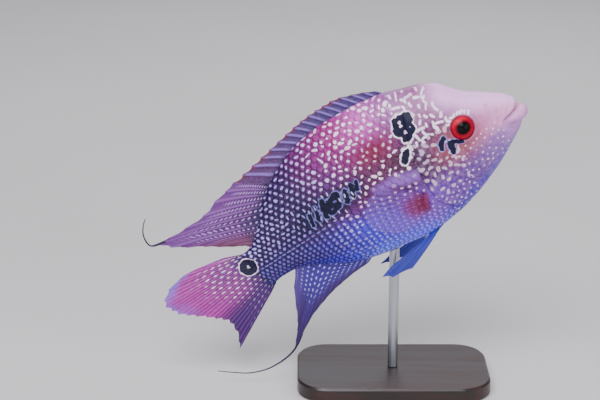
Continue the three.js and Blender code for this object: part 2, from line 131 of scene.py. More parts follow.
def body_normals(behind, angle):
    step = 0.05
    along = body_points(np.asarray(behind) - step, angle) - body_points(np.asarray(behind) + step, angle)
    around = body_points(behind, np.asarray(angle) + step) - body_points(behind, np.asarray(angle) - step)
    return unit(np.cross(along, around))


# The fish's place in the world: its belly rests on the rod, which stands over the origin
ROD_TOP_X = (-ROD_BACK * math.cos(PITCH) - float(belly(ROD_BACK)) * math.sin(PITCH)) / 1000
SNOUT = np.array([-ROD_TOP_X, 0, FLOOR_BELOW_SNOUT / 1000])


def to_world(points):
    """Fish millimetres to world metres."""
    x, y, z = np.moveaxis(np.asarray(points, float) / 1000, -1, 0)
    return np.stack([SNOUT[0] + x * math.cos(PITCH) - z * math.sin(PITCH), y,
                     SNOUT[2] + x * math.sin(PITCH) + z * math.cos(PITCH)], axis=-1)


# Meshes
def make_object(name, verts, faces, smooth=True):
    mesh = bpy.data.meshes.new(name)
    mesh.from_pydata([tuple(v) for v in verts], [], faces)
    mesh.update()
    if smooth:
        mesh.polygons.foreach_set("use_smooth", [True] * len(mesh.polygons))
    obj = bpy.data.objects.new(name, mesh)
    bpy.context.scene.collection.objects.link(obj)
    return obj


def read_vectors(items, name):
    """A vector that each item of a mesh has, such as each vertex's place."""
    flat = np.empty(3 * len(items), np.float32)
    items.foreach_get(name, flat)
    return flat.reshape(-1, 3).astype(float)


def set_vector(obj, name, values):
    layer = obj.data.attributes.new(name, "FLOAT_VECTOR", "POINT")
    layer.data.foreach_set("vector", np.ascontiguousarray(values, np.float32).ravel())


def apply_modifiers(obj):
    graph = bpy.context.evaluated_depsgraph_get()
    mesh = bpy.data.meshes.new_from_object(obj.evaluated_get(graph))
    old = obj.data
    obj.modifiers.clear()
    obj.data = mesh
    bpy.data.meshes.remove(old)


def grid_faces(rows, columns, closed=False):
    """Quads over a grid of points kept row by row; a closed grid's last column joins its first."""
    r, c = np.meshgrid(np.arange(rows - 1), np.arange(columns if closed else columns - 1), indexing="ij")
    a = (r * columns + c).ravel()
    b = (r * columns + (c + 1) % columns).ravel()
    return np.stack([a, b, b + columns, a + columns], axis=1).tolist()


def grid_border(rows, columns):
    """The border of such a grid, in order."""
    last = (rows - 1) * columns
    return ([*range(columns)] + [r * columns + columns - 1 for r in range(1, rows)]
            + [last + c for c in range(columns - 2, -1, -1)] + [r * columns for r in range(rows - 2, 0, -1)])


def capped_faces(rings, around):
    """Faces of a closed surface over rings of points, whose two end points come last."""
    faces = grid_faces(rings, around, closed=True)
    ends, last_ring = rings * around, (rings - 1) * around
    for i in range(around):
        j = (i + 1) % around
        faces.append([ends, j, i])
        faces.append([ends + 1, last_ring + i, last_ring + j])
    return faces


def tube(points, radii, sides, flat=1.0, across=(0, 1, 0)):
    """Vertices and faces of a closed tapering tube; flat under 1 makes it thin along across."""
    points = np.asarray(points, float)
    tangents = unit(np.gradient(points, axis=0))
    first = unit(np.cross(tangents, across))
    second = flat * np.cross(tangents, first)
    turn = np.linspace(0, 2 * np.pi, sides, endpoint=False)[:, None]
    circle = np.cos(turn) * first[:, None] + np.sin(turn) * second[:, None]
    rings = points[:, None] + radii[:, None, None] * circle
    verts = np.concatenate([rings.reshape(-1, 3), points[:1], points[-1:]])
    return verts, capped_faces(len(points), sides)


def join_shapes(shapes):
    """Several shapes, each of vertices and faces, as one."""
    verts, faces = [], []
    for points, sides in shapes:
        start = sum(len(v) for v in verts)
        verts.append(points)
        faces += [[start + i for i in face] for face in sides]
    return np.concatenate(verts), faces


def smooth_curve(points, count):
    """Points evenly spread on a smooth curve through the given ones."""
    points = np.asarray(points, float)
    reach = np.concatenate([[0], np.cumsum(np.linalg.norm(np.diff(points, axis=0), axis=1))])
    at = np.linspace(0, reach[-1], count)
    return np.stack([profile(list(zip(reach, points[:, k])))(at) for k in range(3)], axis=-1)


# Camera: level, long lens, looking a little down on the right flank
ELEVATION = math.radians(18)
PICTURE = (600, 400)
SENSOR = 36
FOCAL_PIXELS = 1668
METRES_PER_PIXEL = 0.0005
SNOUT_PIXEL = (520, 108)


def add_camera():
    data = bpy.data.cameras.new("camera")
    data.sensor_width = SENSOR
    data.lens = SENSOR * FOCAL_PIXELS / PICTURE[0]
    data.clip_start = 0.01
    camera = bpy.data.objects.new("camera", data)
    bpy.context.scene.collection.objects.link(camera)
    forward = Vector((0, math.cos(ELEVATION), -math.sin(ELEVATION)))
    up = Vector((0, math.sin(ELEVATION), math.cos(ELEVATION)))
    right = (SNOUT_PIXEL[0] - PICTURE[0] / 2) * METRES_PER_PIXEL
    above = (PICTURE[1] / 2 - SNOUT_PIXEL[1]) * METRES_PER_PIXEL
    middle = Vector(SNOUT) - Vector((right, 0, 0)) - up * above
    camera.location = middle - forward * FOCAL_PIXELS * METRES_PER_PIXEL
    camera.rotation_euler = (math.pi / 2 - ELEVATION, 0, 0)
    bpy.context.scene.camera = camera


# Materials. Colours are given as 0 to 255 screen colours, and the paints are this much richer and deeper.
RICHNESS = 1.3
DEPTH = 1.5


def linear(rgb):
    """A screen colour as a linear paint colour, deepened for the pale studio."""
    c = np.array(rgb, float) / 255
    c = np.where(c <= 0.04045, c / 12.92, ((c + 0.055) / 1.055) ** 2.4)
    grey = c @ np.array([0.3, 0.59, 0.11])
    c = np.clip(grey + RICHNESS * (c - grey), 0.002, 1)
    return tuple(c ** DEPTH) + (1.0,)


class Value:
    """A value or a colour in a material. Whatever is worked out with it adds nodes to that material."""

    def __init__(self, paint, socket):
        self.paint = paint
        self.socket = socket

    def math(self, kind, other=None):
        return self.paint.node("ShaderNodeMath", {0: self, 1: other}, operation=kind)

    def __add__(self, other):
        return self.math("ADD", other)

    def __sub__(self, other):
        return self.math("SUBTRACT", other)

    def __mul__(self, other):
        return self.math("MULTIPLY", other)

    def step(self, low, high, start=0.0, end=1.0):
        """From start to end as the value goes from low to high, smoothly."""
        sockets = {0: self, 1: low, 2: high, 3: start, 4: end}
        return self.paint.node("ShaderNodeMapRange", sockets, interpolation_type="SMOOTHSTEP")

    def mix(self, first, second):
        """The first colour where the value is 0, the second where it is 1."""
        return self.paint.node("ShaderNodeMix", {0: self, 6: first, 7: second}, 2, data_type="RGBA")

    def between(self, first, second):
        """The first number where the value is 0, the second where it is 1."""
        return self.paint.node("ShaderNodeMix", {0: self, 2: first, 3: second}, data_type="FLOAT")

    def ramp(self, stops):
        """The colour at this value, from (value, colour) stops."""
        colour = self.paint.node("ShaderNodeValToRGB", {0: self})
        elements = colour.socket.node.color_ramp.elements
        while len(elements) < len(stops):
            elements.new(0.5)
        for element, (at, shade) in zip(elements, stops):
            element.position = at
            element.color = linear(shade)
        return colour

    def parts(self):
        parts = self.paint.node("ShaderNodeSeparateXYZ", {0: self})
        return [Value(self.paint, socket) for socket in parts.socket.node.outputs]

    def joined(self, y, z=0.0):
        """This number and two others as a vector."""
        return self.paint.node("ShaderNodeCombineXYZ", {0: self, 1: y, 2: z})

    def length(self):
        return self.paint.node("ShaderNodeVectorMath", {0: self}, "Value", operation="LENGTH")

    def noise(self, scale, detail=2.0, distortion=0.0):
        sockets = {"Vector": self, "Scale": scale, "Detail": detail, "Distortion": distortion}
        return self.paint.node("ShaderNodeTexNoise", sockets)

    def waver(self, scale, detail, reach):
        """Noise that strays from zero by up to half of reach."""
        return (self.noise(scale, detail) - 0.5) * reach


class Paint:
    """A material under construction."""

    def __init__(self, name):
        self.material = bpy.data.materials.new(name)
        self.material.use_nodes = True
        self.tree = self.material.node_tree
        self.surface = self.tree.nodes["Principled BSDF"]

    def feed(self, socket, value):
        if isinstance(value, Value):
            self.tree.links.new(value.socket, socket)
        elif value is not None:
            socket.default_value = linear(value) if isinstance(value, tuple) else value

    def node(self, kind, sockets, output=0, **settings):
        node = self.tree.nodes.new(kind)
        for key, value in settings.items():
            setattr(node, key, value)
        for key, value in sockets.items():
            self.feed(node.inputs[key], value)
        return Value(self, node.outputs[output])

    def attribute(self, name):
        return self.node("ShaderNodeAttribute", {}, "Vector", attribute_name=name)

    def object_place(self):
        return self.node("ShaderNodeTexCoord", {}, "Object")

    def bump(self, height, distance, strength=0.5):
        sockets = {"Strength": strength, "Distance": distance, "Height": height}
        self.feed(self.surface.inputs["Normal"], self.node("ShaderNodeBump", sockets))

    def finish(self, colour, roughness, coat=0.0, coat_roughness=0.03, specular=0.5, metallic=0.0):
        settings = {"Base Color": colour, "Roughness": roughness, "Coat Weight": coat,
                    "Coat Roughness": coat_roughness, "Specular IOR Level": specular, "Metallic": metallic}
        for name, value in settings.items():
            self.feed(self.surface.inputs[name], value)
        return self.material


# Colours along the body, as (share of the way to the tail fin, colour), at four heights
BACK_COLOURS = [(0, (252, 216, 248)), (0.185, (244, 208, 244)), (0.25, (174, 130, 164)),
                (0.34, (176, 134, 176)), (0.45, (206, 132, 194)), (0.55, (172, 80, 146)),
                (0.66, (146, 72, 136)), (0.76, (72, 44, 100)), (0.86, (38, 38, 94)), (1, (48, 44, 106))]
FLANK_COLOURS = [(0, (236, 196, 222)), (0.12, (204, 158, 188)), (0.2, (140, 100, 126)), (0.34, (88, 58, 98)),
                 (0.4, (86, 18, 52)), (0.5, (112, 38, 88)), (0.62, (116, 62, 128)), (0.73, (40, 34, 92)),
                 (0.85, (16, 26, 90)), (1, (22, 24, 90))]
# The darker violet stops near 0.3 in the lower and belly rows, just behind the gill cover's lower edge, are
# partly the throat's own violet and partly painted shade under the cover
LOWER_COLOURS = [(0, (218, 180, 218)), (0.1, (160, 134, 182)), (0.2, (132, 104, 160)), (0.3, (122, 86, 160)),
                 (0.4, (142, 110, 190)), (0.5, (122, 108, 208)), (0.6, (90, 96, 208)), (0.7, (46, 58, 160)),
                 (0.85, (28, 38, 108)), (1, (34, 40, 108))]
BELLY_COLOURS = [(0, (206, 180, 216)), (0.1, (142, 130, 190)), (0.2, (104, 86, 182)), (0.32, (70, 46, 178)),
                 (0.45, (126, 136, 246)), (0.6, (132, 152, 255)), (0.7, (66, 84, 206)), (0.85, (38, 48, 136)),
                 (1, (38, 42, 116))]
PEARL = (255, 242, 255)
INK = (16, 10, 70)


def body_colour(fish, place):
    """The body's ground colour; place holds the share along the body and the height from -1 to 1."""
    along, height, _ = place.parts()
    waver = fish.noise(0.09, 3) - 0.5
    along = along + waver * 0.06
    height = height + waver * 0.3
    colour = along.ramp(BELLY_COLOURS)
    upwards = ((-0.95, -0.6, LOWER_COLOURS), (-0.45, 0.05, FLANK_COLOURS), (0.3, 0.85, BACK_COLOURS))
    for low, high, stops in upwards:
        colour = height.step(low, high).mix(colour, along.ramp(stops))
    return colour


# The eye-like spot at the root of the tail fin: distance behind the snout, height and radius
RING_SPOT = (160.6, 0.4, 4.6)


def ringed(colour, fish):
    """The eye-like spot, black with a white ring and a white speck, laid over a colour."""
    behind, height, radius = RING_SPOT
    x, _, z = fish.parts()
    reach = (x + behind).joined(z - height).length() + fish.waver(0.6, 2, 1.6)
    colour = reach.step(radius + 0.5, radius + 0.8, 0.85, 0).mix(colour, PEARL)
    colour = reach.step(radius - 0.1, radius + 0.2, 1, 0).mix(colour, (34, 26, 78))
    return reach.step(0.7, 1.0, 0.9, 0).mix(colour, PEARL)


# Black marks on each flank, as strokes (distance behind the snout, height, radius) joined into chains
INK_STROKES = [
    [(49.6, 28.6, 2.6), (54.6, 29.6, 2.4), (55.8, 25.4, 3.0), (51.8, 24, 3.4), (54.6, 20.8, 2.2)],
    [(57.4, 15.6, 1.3), (59.8, 13.2, 2.0), (61.6, 11.2, 1.6)],
    [(31.8, 4.4, 0.6), (34.6, 6.0, 0.9), (37.6, 7.0, 1.5), (38.2, 4.4, 1.4), (38.8, 1.6, 0.7)],
    [(39.6, 10.6, 1.1), (42.0, 9.0, 1.4), (42.8, 6.4, 0.7)],
    [(100.4, 13, 2.0), (103.6, 9.6, 3.9), (106.2, 7.4, 2.6)],
    [(108.2, 14.2, 1.1), (109.4, 9.6, 1.8), (110.4, 5, 1.0)],
    [(113.4, 12.2, 0.9), (114.4, 5.6, 1.1)],
    [(117.8, 10.4, 0.8), (118.6, 4.4, 0.9)],
    [(87.6, 14.4, 0.9), (89.2, 10.6, 1.0)],
    [(91, 13.8, 1.2), (93, 8.4, 1.1)],
    [(95.4, 13, 1.1), (96.8, 7.4, 1.2)],
]
# White specks inside the black marks
INK_SPECKS = [(53.9, 28.6, 1.0), (54.1, 27.0, 1.1), (53.9, 23.3, 1.0), (50.4, 24.6, 0.6), (56.6, 17.4, 1.9),
              (102.6, 10.6, 0.8), (105.4, 7.8, 0.8)]
# The plain lilac band behind the gill cover, as a stroke of the same kind
BAND = [(61, 2.2, 2.4), (70, 4.8, 3.0), (82, 5.8, 1.2)]
# A distance beyond that of any mark or furrow
FAR = 99.0


def path_distance(points, path):
    """Distance from points of the flank to a path of (distance behind, height) places, perhaps with radii."""
    plane = np.stack([-points[..., 0], points[..., 2]], axis=-1)
    nearest = np.full(plane.shape[:-1], FAR)
    for start, end in zip(path[:-1], path[1:]):
        a, b = np.array(start[:2]), np.array(end[:2])
        t = np.clip(((plane - a) @ (b - a)) / ((b - a) @ (b - a)), 0, 1)
        gap = np.linalg.norm(plane - a - t[..., None] * (b - a), axis=-1)
        if len(start) > 2:
            gap -= lerp(start[2], end[2], t)
        nearest = np.minimum(nearest, gap)
    return nearest


def ink_distance(points):
    """Millimetres from the edge of the nearest black mark, negative inside it."""
    nearest = np.min([path_distance(points, stroke) for stroke in INK_STROKES], axis=0)
    for behind, height, radius in INK_SPECKS:
        speck = radius - np.hypot(-points[..., 0] - behind, points[..., 2] - height)
        nearest = np.maximum(nearest, speck)
    return nearest


# Head: its parts are placed by distance behind the snout and height. Its furrows are paths of such places.
EYE = {"back": 28.7, "height": 10.0, "radius": 6.2, "depth": 3.6, "sunk": 1.3}
UPPER_LIP = {"front": -2.3, "height": 5.9, "radius": 2.5, "corner_height": 2.5, "half": 7.6}
LOWER_LIP = {"front": 0.0, "height": -1.2, "radius": 3.3, "corner_height": -0.3, "half": 7.4}
LIP_CORNER = 9.2
# Distance behind the snout, height and radius
NOSTRIL = (13.4, 12.2, 0.95)
PORES = ([(14 + 3.6 * k, -7.5 - 2.1 * k) for k in range(7)]
         + [(19 + 3.2 * k, 1.6 - 0.8 * k) for k in range(6)]
         + [(16.5 + 3.4 * k, 16.6 + 2.2 * k) for k in range(4)])
LIP_CREASES = [[(9.8, 7.0), (7.0, 5.6)], [(11.6, 3.6), (9.2, 2.8)], [(10.6, -1.0), (8.0, -0.4)]]
CHEEK_GROOVE = [(37, 1.5), (43, -1), (45.5, -7), (44, -13), (38, -18), (30, -20.5)]
LIP_FOLD = [(8.8, 9.4), (10.6, 5.6), (11.4, 1.6), (10.4, -2.4), (7.6, -5.6)]
MOUTH_LINE = [(-1, 3.2), (3, 2.5), (6, 1.9), (9.4, 1.1)]
# White marks of the head, strewn over each flank zone by zone
HEAD_MARKS = [
    {"behind": (31, 66), "height": (15.5, 42), "apart": 2.9, "length": (0.8, 4.2), "radius": (0.42, 0.7),
     "tilt": 1.15, "spread": 0.7, "curl": 0.3, "bright": 1.0},
    {"behind": (36, 59), "height": (-14, 15.5), "apart": 3.2, "length": (0.2, 2.8), "radius": (0.5, 0.85),
     "tilt": 0.4, "spread": 1.2, "curl": 0.6, "bright": 0.48},
    {"behind": (12, 38), "height": (-14, 4), "apart": 2.6, "length": (0.1, 0.5), "radius": (0.22, 0.45),
     "tilt": 0.0, "spread": 1.0, "curl": 0.0, "bright": 0.7},
    {"behind": (36, 58), "height": (-27, -14), "apart": 2.4, "length": (0.1, 0.8), "radius": (0.3, 0.5),
     "tilt": 0.0, "spread": 1.0, "curl": 0.0, "bright": 0.5},
]
# How far back they reach, how often each zone tries for a place, and how far from the eye they stay
WHITE_END = 70
STROKE_TRIES = 1400
EYE_CLEAR = 8.8
# White strokes over the top of each eye
SPANGLES = 8


def curled_stroke(behind, height, heading, length, curl):
    """Points along a short stroke that bends as it goes."""
    at = np.linspace(-0.5, 0.5, 6) * length
    turned = heading + curl * at
    step = length / 5
    line = np.stack([np.cumsum(np.cos(turned)), np.cumsum(np.sin(turned))], axis=-1) * step
    return line - line.mean(axis=0) + (behind, height)


def head_strokes(rng):
    """The white strokes of one flank: points, radius and brightness of each."""
    eye = (EYE["back"], EYE["height"])
    strokes = []
    for zone in HEAD_MARKS:
        taken = np.empty((0, 2))
        for _ in range(STROKE_TRIES):
            spot = np.array([rng.uniform(*zone["behind"]), rng.uniform(*zone["height"])])
            crowded = len(taken) and np.linalg.norm(taken - spot, axis=1).min() < zone["apart"]
            on_forehead = spot[1] > 4 and spot[0] < 31 + 0.3 * (spot[1] - 15)
            if crowded or on_forehead or np.linalg.norm(spot - eye) < EYE_CLEAR:
                continue
            taken = np.vstack([taken, spot])
            heading = rng.normal(zone["tilt"], zone["spread"])
            line = curled_stroke(*spot, heading, rng.uniform(*zone["length"]), rng.normal(0, zone["curl"]))
            strokes.append((line, rng.uniform(*zone["radius"]), zone["bright"] * rng.uniform(0.8, 1.1)))
    for k in range(SPANGLES):
        turn = math.radians(38 + 14 * k)
        centre = (eye[0] - 7.9 * math.cos(turn), eye[1] + 7.7 * math.sin(turn))
        line = curled_stroke(*centre, turn + 1.57 + rng.normal(0, 0.5), 1.0, 0.0)
        strokes.append((line, rng.uniform(0.4, 0.6), 1.0))
    return strokes


def gill_crease_shade(points):
    """How deep each point lies in the shadow behind the gill cover, from 0 to 1."""
    share = ring_angle(points)
    behind_cover = -points[:, 0] - gill_edge(share)
    return (smoothstep(share, 0.35, 0.7) * smoothstep(behind_cover, -0.2, 0.2)
            * (1 - smoothstep(behind_cover, 0.8, 3.0)))


def white_marks(points, normals):
    """Millimetres from the nearest white stroke of the head, its brightness, and how much painted shade falls
    on it behind the gill cover and along the mouth line.
    """
    marks = np.tile([9.0, 0.0, 0.0], (len(points), 1))
    # Painted shade in the cleft along the mouth line, joined with the painted shadow behind the gill cover
    mouth_shade = 0.6 * bell(path_distance(points, MOUTH_LINE), 0.55)
    marks[:, 2] = np.maximum(gill_crease_shade(points), mouth_shade)
    for side in (-1, 1):
        near_flank = np.flatnonzero((points[:, 1] * side > 0) & (points[:, 0] > -WHITE_END))
        flank = points[near_flank]
        for line, radius, bright in head_strokes(np.random.default_rng(20 + side)):
            behind, height = line.mean(axis=0)
            away = np.maximum(np.abs(-flank[:, 0] - behind), np.abs(flank[:, 2] - height))
            close = np.flatnonzero(away < 5)
            gap = path_distance(flank[close], line) - radius
            index = near_flank[close]
            nearer = gap < marks[index, 0]
            marks[index[nearer], 0] = gap[nearer]
            marks[index[nearer], 1] = bright
    steep = np.abs(normals[:, 1])
    marks[:, 1] *= np.where(normals[:, 2] < 0, smoothstep(steep, 0.4, 0.65), smoothstep(steep, 0.15, 0.4))
    return marks


def place_on_body(points):
    """Share of the way along the body, height from -1 at the belly to 1 at the back, and the black marks."""
    behind, height = -points[..., 0], points[..., 2]
    behind = behind - tail_slant(behind) * (height - widest_at(behind))
    return np.stack([behind / BODY_END, height_share(behind, height), ink_distance(points)], axis=-1)


def angle_at(behind, height, side):
    """The angle of the point at a given height on one flank."""
    return side * np.arccos(np.clip(height_share(behind, height), -1, 1))


def eye_place(side):
    angle = angle_at(EYE["back"], EYE["height"], side)
    normal = body_normals(EYE["back"], angle)
    return body_points(EYE["back"], angle) - EYE["sunk"] * normal, normal


def lip_tube(lip):
    s = np.linspace(-1, 1, 41)
    x = lip["front"] - (LIP_CORNER + lip["front"]) * np.abs(s) ** 2.2
    y = lip["half"] * np.sin(s * np.pi / 2)
    z = lerp(lip["height"], lip["corner_height"], np.abs(s) ** 1.4)
    radius = lip["radius"] * (1 - 0.62 * np.abs(s) ** 2.4)
    return tube(np.stack([x, y, z], axis=-1), radius, 24, across=(0, 0, 1))


def body_shell():
    """The plain body as closed rings, with the two lips."""
    rings, around = 200, 200
    behind = SNOUT_START + (BODY_END - 0.3 - SNOUT_START) * np.linspace(0, 1, rings) ** 1.2
    turn = np.linspace(0, 2 * np.pi, around, endpoint=False)
    points = body_points(behind[:, None], turn)
    ends = np.stack([-behind[[0, -1]], [0, 0], widest_at(behind[[0, -1]])], axis=-1)
    body = np.concatenate([points.reshape(-1, 3), ends]), capped_faces(rings, around)
    return join_shapes([body, lip_tube(UPPER_LIP), lip_tube(LOWER_LIP)])


def ring_angle(points):
    """The share of the way from the back to the belly round the ring that each point lies on."""
    return angle_at(-points[:, 0], points[:, 2], 1) / np.pi


def pit(points, centre, radius, depth):
    return -depth * bell(np.linalg.norm(points - centre, axis=-1), radius)


def groove(points, path, width, depth):
    """A soft furrow along a path of (distance behind, height) places, on both flanks."""
    return -depth * bell(path_distance(points, path), width)


def gill_relief(points, flank):
    share = ring_angle(points)
    ahead = gill_edge(share) + points[:, 0]
    cover = 0.95 * flank * (1 - smoothstep(ahead, 3, 15)) * smoothstep(ahead, -0.5, 0.1)
    return smoothstep(share, 0.2, 0.34) * (cover - 0.6 * bell(ahead + 0.7, 0.9))


def eye_relief(points, side):
    """The socket, its lid and the fold round it."""
    centre, normal = eye_place(side)
    offset = points - centre
    from_axis = np.linalg.norm(offset - (offset @ normal)[:, None] * normal, axis=1)
    near = (offset @ normal > -6) & (from_axis < 14)
    lid = 0.75 * bell(from_axis - 6.9, 1.0) - 0.3 * bell(from_axis - 9.3, 1.3)
    socket = -4.6 * (1 - smoothstep(from_axis, 4.9, 6.3))
    return np.where(near, lid + socket, 0)


def head_relief(points, normals):
    """How far the head's skin stands above the plain body, in millimetres."""
    flank = np.abs(normals[:, 1]) ** 1.5
    from_middle = np.abs(points[:, 1])
    relief = gill_relief(points, flank) + groove(points, CHEEK_GROOVE, 1.3, 0.6) * flank
    for crease in LIP_CREASES:
        relief += groove(points, crease, 0.6, 0.3) * smoothstep(from_middle, 3, 5)
    relief += groove(points, LIP_FOLD, 0.9, 0.45) * smoothstep(from_middle, 3, 6)
    relief += groove(points, MOUTH_LINE, 0.5, 0.55) * smoothstep(points[:, 0], -10.5, -9)
    for side in (-1, 1):
        relief += eye_relief(points, side)
        nostril = body_points(NOSTRIL[0], angle_at(NOSTRIL[0], NOSTRIL[1], side))
        relief += pit(points, nostril, NOSTRIL[2], 1.3)
        relief += 0.3 * bell(np.linalg.norm(points - nostril, axis=1) - 1.7, 0.5)
        for behind, height in PORES:
            relief += pit(points, body_points(behind, angle_at(behind, height, side)), 0.55, 0.45)
    return relief


# The skin is remeshed in cells of this size. Behind the head it lies this deep under the scales.
SKIN_VOXEL = 0.52
SKIN_SUNK = 0.35
HEAD_END = 66


def add_skin():
    """One closed skin over head, trunk and tail."""
    skin = make_object("skin", *body_shell())
    remesh = skin.modifiers.new("remesh", "REMESH")
    remesh.mode = "VOXEL"
    remesh.voxel_size = SKIN_VOXEL
    soften = skin.modifiers.new("soften", "SMOOTH")
    soften.factor = 0.5
    soften.iterations = 4
    apply_modifiers(skin)
    points = read_vectors(skin.data.vertices, "co")
    normals = read_vectors(skin.data.vertex_normals, "vector")
    relief = head_relief(points, normals) * (points[:, 0] > -HEAD_END)
    points += normals * (relief - SKIN_SUNK * smoothstep(-points[:, 0], 50, HEAD_END))[:, None]
    skin.data.vertices.foreach_set("co", to_world(points).astype(np.float32).ravel())
    skin.data.update()
    set_vector(skin, "fish", points)
    set_vector(skin, "place", place_on_body(points))
    set_vector(skin, "white", white_marks(points, normals))
    skin.data.materials.append(skin_material())
    skin.data.polygons.foreach_set("use_smooth", [True] * len(skin.data.polygons))
    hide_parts("head", "trunk", "tail")
    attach(skin, "root")


def skin_material():
    paint = Paint("fish_skin")
    fish, place = paint.attribute("fish"), paint.attribute("place")
    along, _, ink = place.parts()
    mottle = fish.noise(0.5, 4)
    ground = mottle.step(0.35, 0.75, 0, 0.18).mix(body_colour(fish, place), (236, 206, 232))
    x, _, z = fish.parts()
    from_cheek = ((x + 34) * (1 / 17)).joined((z - 5) * (1 / 12)).length()
    ground = from_cheek.step(0.2, 1.25, 0.5, 0).mix(ground, (184, 128, 124))
    gap, bright, crease = paint.attribute("white").parts()
    white = (gap + fish.waver(0.9, 2, 0.9)).step(-0.15, 0.25, 1, 0) * bright
    colour = inked(white.mix(ground, PEARL), fish, ink, along)
    # Painted shade: dark violet in the fold behind the gill cover and along the mouth line
    colour = crease.mix(colour, (66, 40, 130))
    paint.bump(mottle * 0.5 + white, 0.00012)
    return paint.finish(colour, ink.step(0.2, 0.8, 0.6, 0.38), coat=0.08, coat_roughness=0.2, specular=0.25)


def inked(colour, fish, ink, along):
    """Black marks with a white edge, which is thin and bluish on the cheek and towards the tail."""
    edge = ink + fish.waver(0.5, 2, 2.2)
    thin = along.step(0.45, 0.55).math("MAXIMUM", along.step(0.27, 0.3, 1, 0))
    halo = edge.step(thin.between(0.6, 0.3), thin.between(1.3, 0.9), 1, 0) * thin.between(0.95, 0.6)
    colour = halo.mix(colour, thin.mix(PEARL, (176, 176, 226)))
    return edge.step(0.0, 0.3, 1, 0).mix(colour, INK)


# Scales: rows that run along the body, in coordinates of distance behind the snout and of length round
# the ring from the widest line, up towards the back
SCALE_STEP = 3.9
SCALE_ROW = 3.05
FIRST_SCALE = 36
LATERAL_LINE = -0.6
# Half the length and half the width of a full-size scale, and the points along each side of its grid
SCALE_LONG = 0.98 * SCALE_STEP
SCALE_WIDE = 0.74 * SCALE_STEP
SCALE_GRID = 8
# How finely the table behind Wrap follows each ring, and shares of the way up and down it
RING_STEPS = 181
SHARE_STEPS = 161


class Wrap:
    """Turns (distance behind, length up or down the flank) into an angle."""

    def __init__(self):
        self.behind = np.linspace(30, BODY_END - 0.5, 260)
        turn = np.linspace(0, np.pi, RING_STEPS)
        points = body_points(self.behind[:, None], turn)
        pieces = np.linalg.norm(np.diff(points, axis=1), axis=-1)
        length = np.concatenate([np.zeros((len(self.behind), 1)), np.cumsum(pieces, axis=1)], axis=1)
        middle = RING_STEPS // 2
        self.up = length[:, middle]
        self.down = length[:, -1] - length[:, middle]
        share = np.linspace(-1, 1, SHARE_STEPS)
        self.table = np.empty((len(self.behind), SHARE_STEPS))
        for i in range(len(self.behind)):
            wanted = np.where(share > 0, share * self.up[i], share * self.down[i])
            self.table[i] = np.interp(-wanted, length[i] - length[i, middle], turn)

    def limits(self, behind):
        return np.interp(behind, self.behind, self.up), np.interp(behind, self.behind, self.down)

    def angle(self, behind, length):
        up, down = self.limits(behind)
        share = np.clip(np.where(length > 0, length / up, length / down), -1, 1)
        spacing = self.behind[1] - self.behind[0]
        row = np.clip((behind - self.behind[0]) / spacing, 0, len(self.behind) - 1.001)
        column = (share + 1) / 2 * (SHARE_STEPS - 1)
        i, j = row.astype(int), np.minimum(column.astype(int), SHARE_STEPS - 2)
        near, far = (lerp(self.table[k, j], self.table[k, j + 1], column - j) for k in (i, i + 1))
        return lerp(near, far, row - i)


def scale_roots(wrap):
    """Where each scale of one flank is rooted: distance behind, length from the widest line, and size."""
    roots = []
    for row in range(-20, 20):
        below = max(-row, 0)
        behind = FIRST_SCALE + (SCALE_STEP / 2 if row % 2 else 0)
        while behind < BODY_END - 1.6:
            shrink = lerp(1, 0.74, smoothstep(behind, 95, 150))
            size = shrink * (1 - 0.026 * min(below, 18))
            length = SCALE_ROW * shrink * row * (1 - 0.013 * below) + 1.2
            up, down = wrap.limits(behind)
            if -down + 0.4 < length < up - 0.3:
                share = float(wrap.angle(np.array([behind]), np.array([length]))[0]) / np.pi
                if behind > gill_edge(share) + 0.8:
                    roots.append((behind, length, size))
            behind += SCALE_STEP * size
    return np.array(roots)


def disc_grid(count):
    """The x and y of a square grid squeezed into a disc."""
    line = np.linspace(-1, 1, count)
    p, q = np.meshgrid(line, line, indexing="ij")
    return np.stack([(p * np.sqrt(1 - q * q / 2)).ravel(), (q * np.sqrt(1 - p * p / 2)).ravel()])


def pearl_kind(behind, height, rng):
    """Half-length, half-width, tilt, brightness and straying of a scale's pearl, by its place."""
    rear = smoothstep(behind, 92, 120)
    front = 1 - smoothstep(behind, 84, 108)
    low = smoothstep(-height, -0.12, 0.3) * front
    deep = smoothstep(-height, 0.1, 0.7)
    long = lerp(lerp(1.05, 0.66, rear), 0.5, low)
    wide = lerp(0.8, 0.46, low)
    bright = lerp(lerp(1.0, 0.8, rear), lerp(0.55, 0.38, deep), max(low, deep))
    loose = (1 - rear) * (1 - low)
    if rng.random() < 0.2 * loose:
        long *= 1.7
    if rng.random() < 0.14 * loose:
        bright = 0.0
    bars = rear * smoothstep(height, -0.1, 0.3)
    if rng.random() < 0.45 * bars:
        long, wide = 1.5 * long, 0.7 * wide
    by_tail = smoothstep(behind, 138, 148) * smoothstep(height, 0.3, 0.7)
    long, bright = long * (1 + 0.3 * by_tail), lerp(bright, 1.05, by_tail)
    ragged = max(loose, 0.7 * bars)
    spread = lerp(0.14, 0.4, ragged)
    turn = rng.normal(-0.3 * loose + bars, lerp(0.3, 0.8, ragged))
    return (long * rng.uniform(1 - spread, 1 + spread), wide * rng.uniform(1 - spread, 1 + spread), turn,
            bright * rng.uniform(0.8, 1.1), max(0.6 * loose, 0.25 * bars))


def patch(points, behind, height, half_length, half_height, slant=0.0):
    """1 in the middle of a soft round patch of the flank, falling to 0 outside it."""
    along = -points[..., 0] - behind
    return bell(along, half_length) * bell(points[..., 2] - height + slant * along, half_height)


def dusk(points):
    """How dark the flank's middle is: a smudge between the gill cover and the tail."""
    return patch(points, 106, 9.3, 24, 8, slant=0.1)


def crimson(points):
    """The crimson patch behind the gill cover, where the pearls are smaller and pinker."""
    return patch(points, 72, 24, 15, 8.5)


def blush(points):
    """The red blush round the root of the side fin."""
    return patch(points, 69, -12, 7, 6)


def band_share(points):
    """The plain lilac band behind the gill cover, from 0 to 1."""
    return 1 - smoothstep(path_distance(points, BAND), -2.0, 2.4)


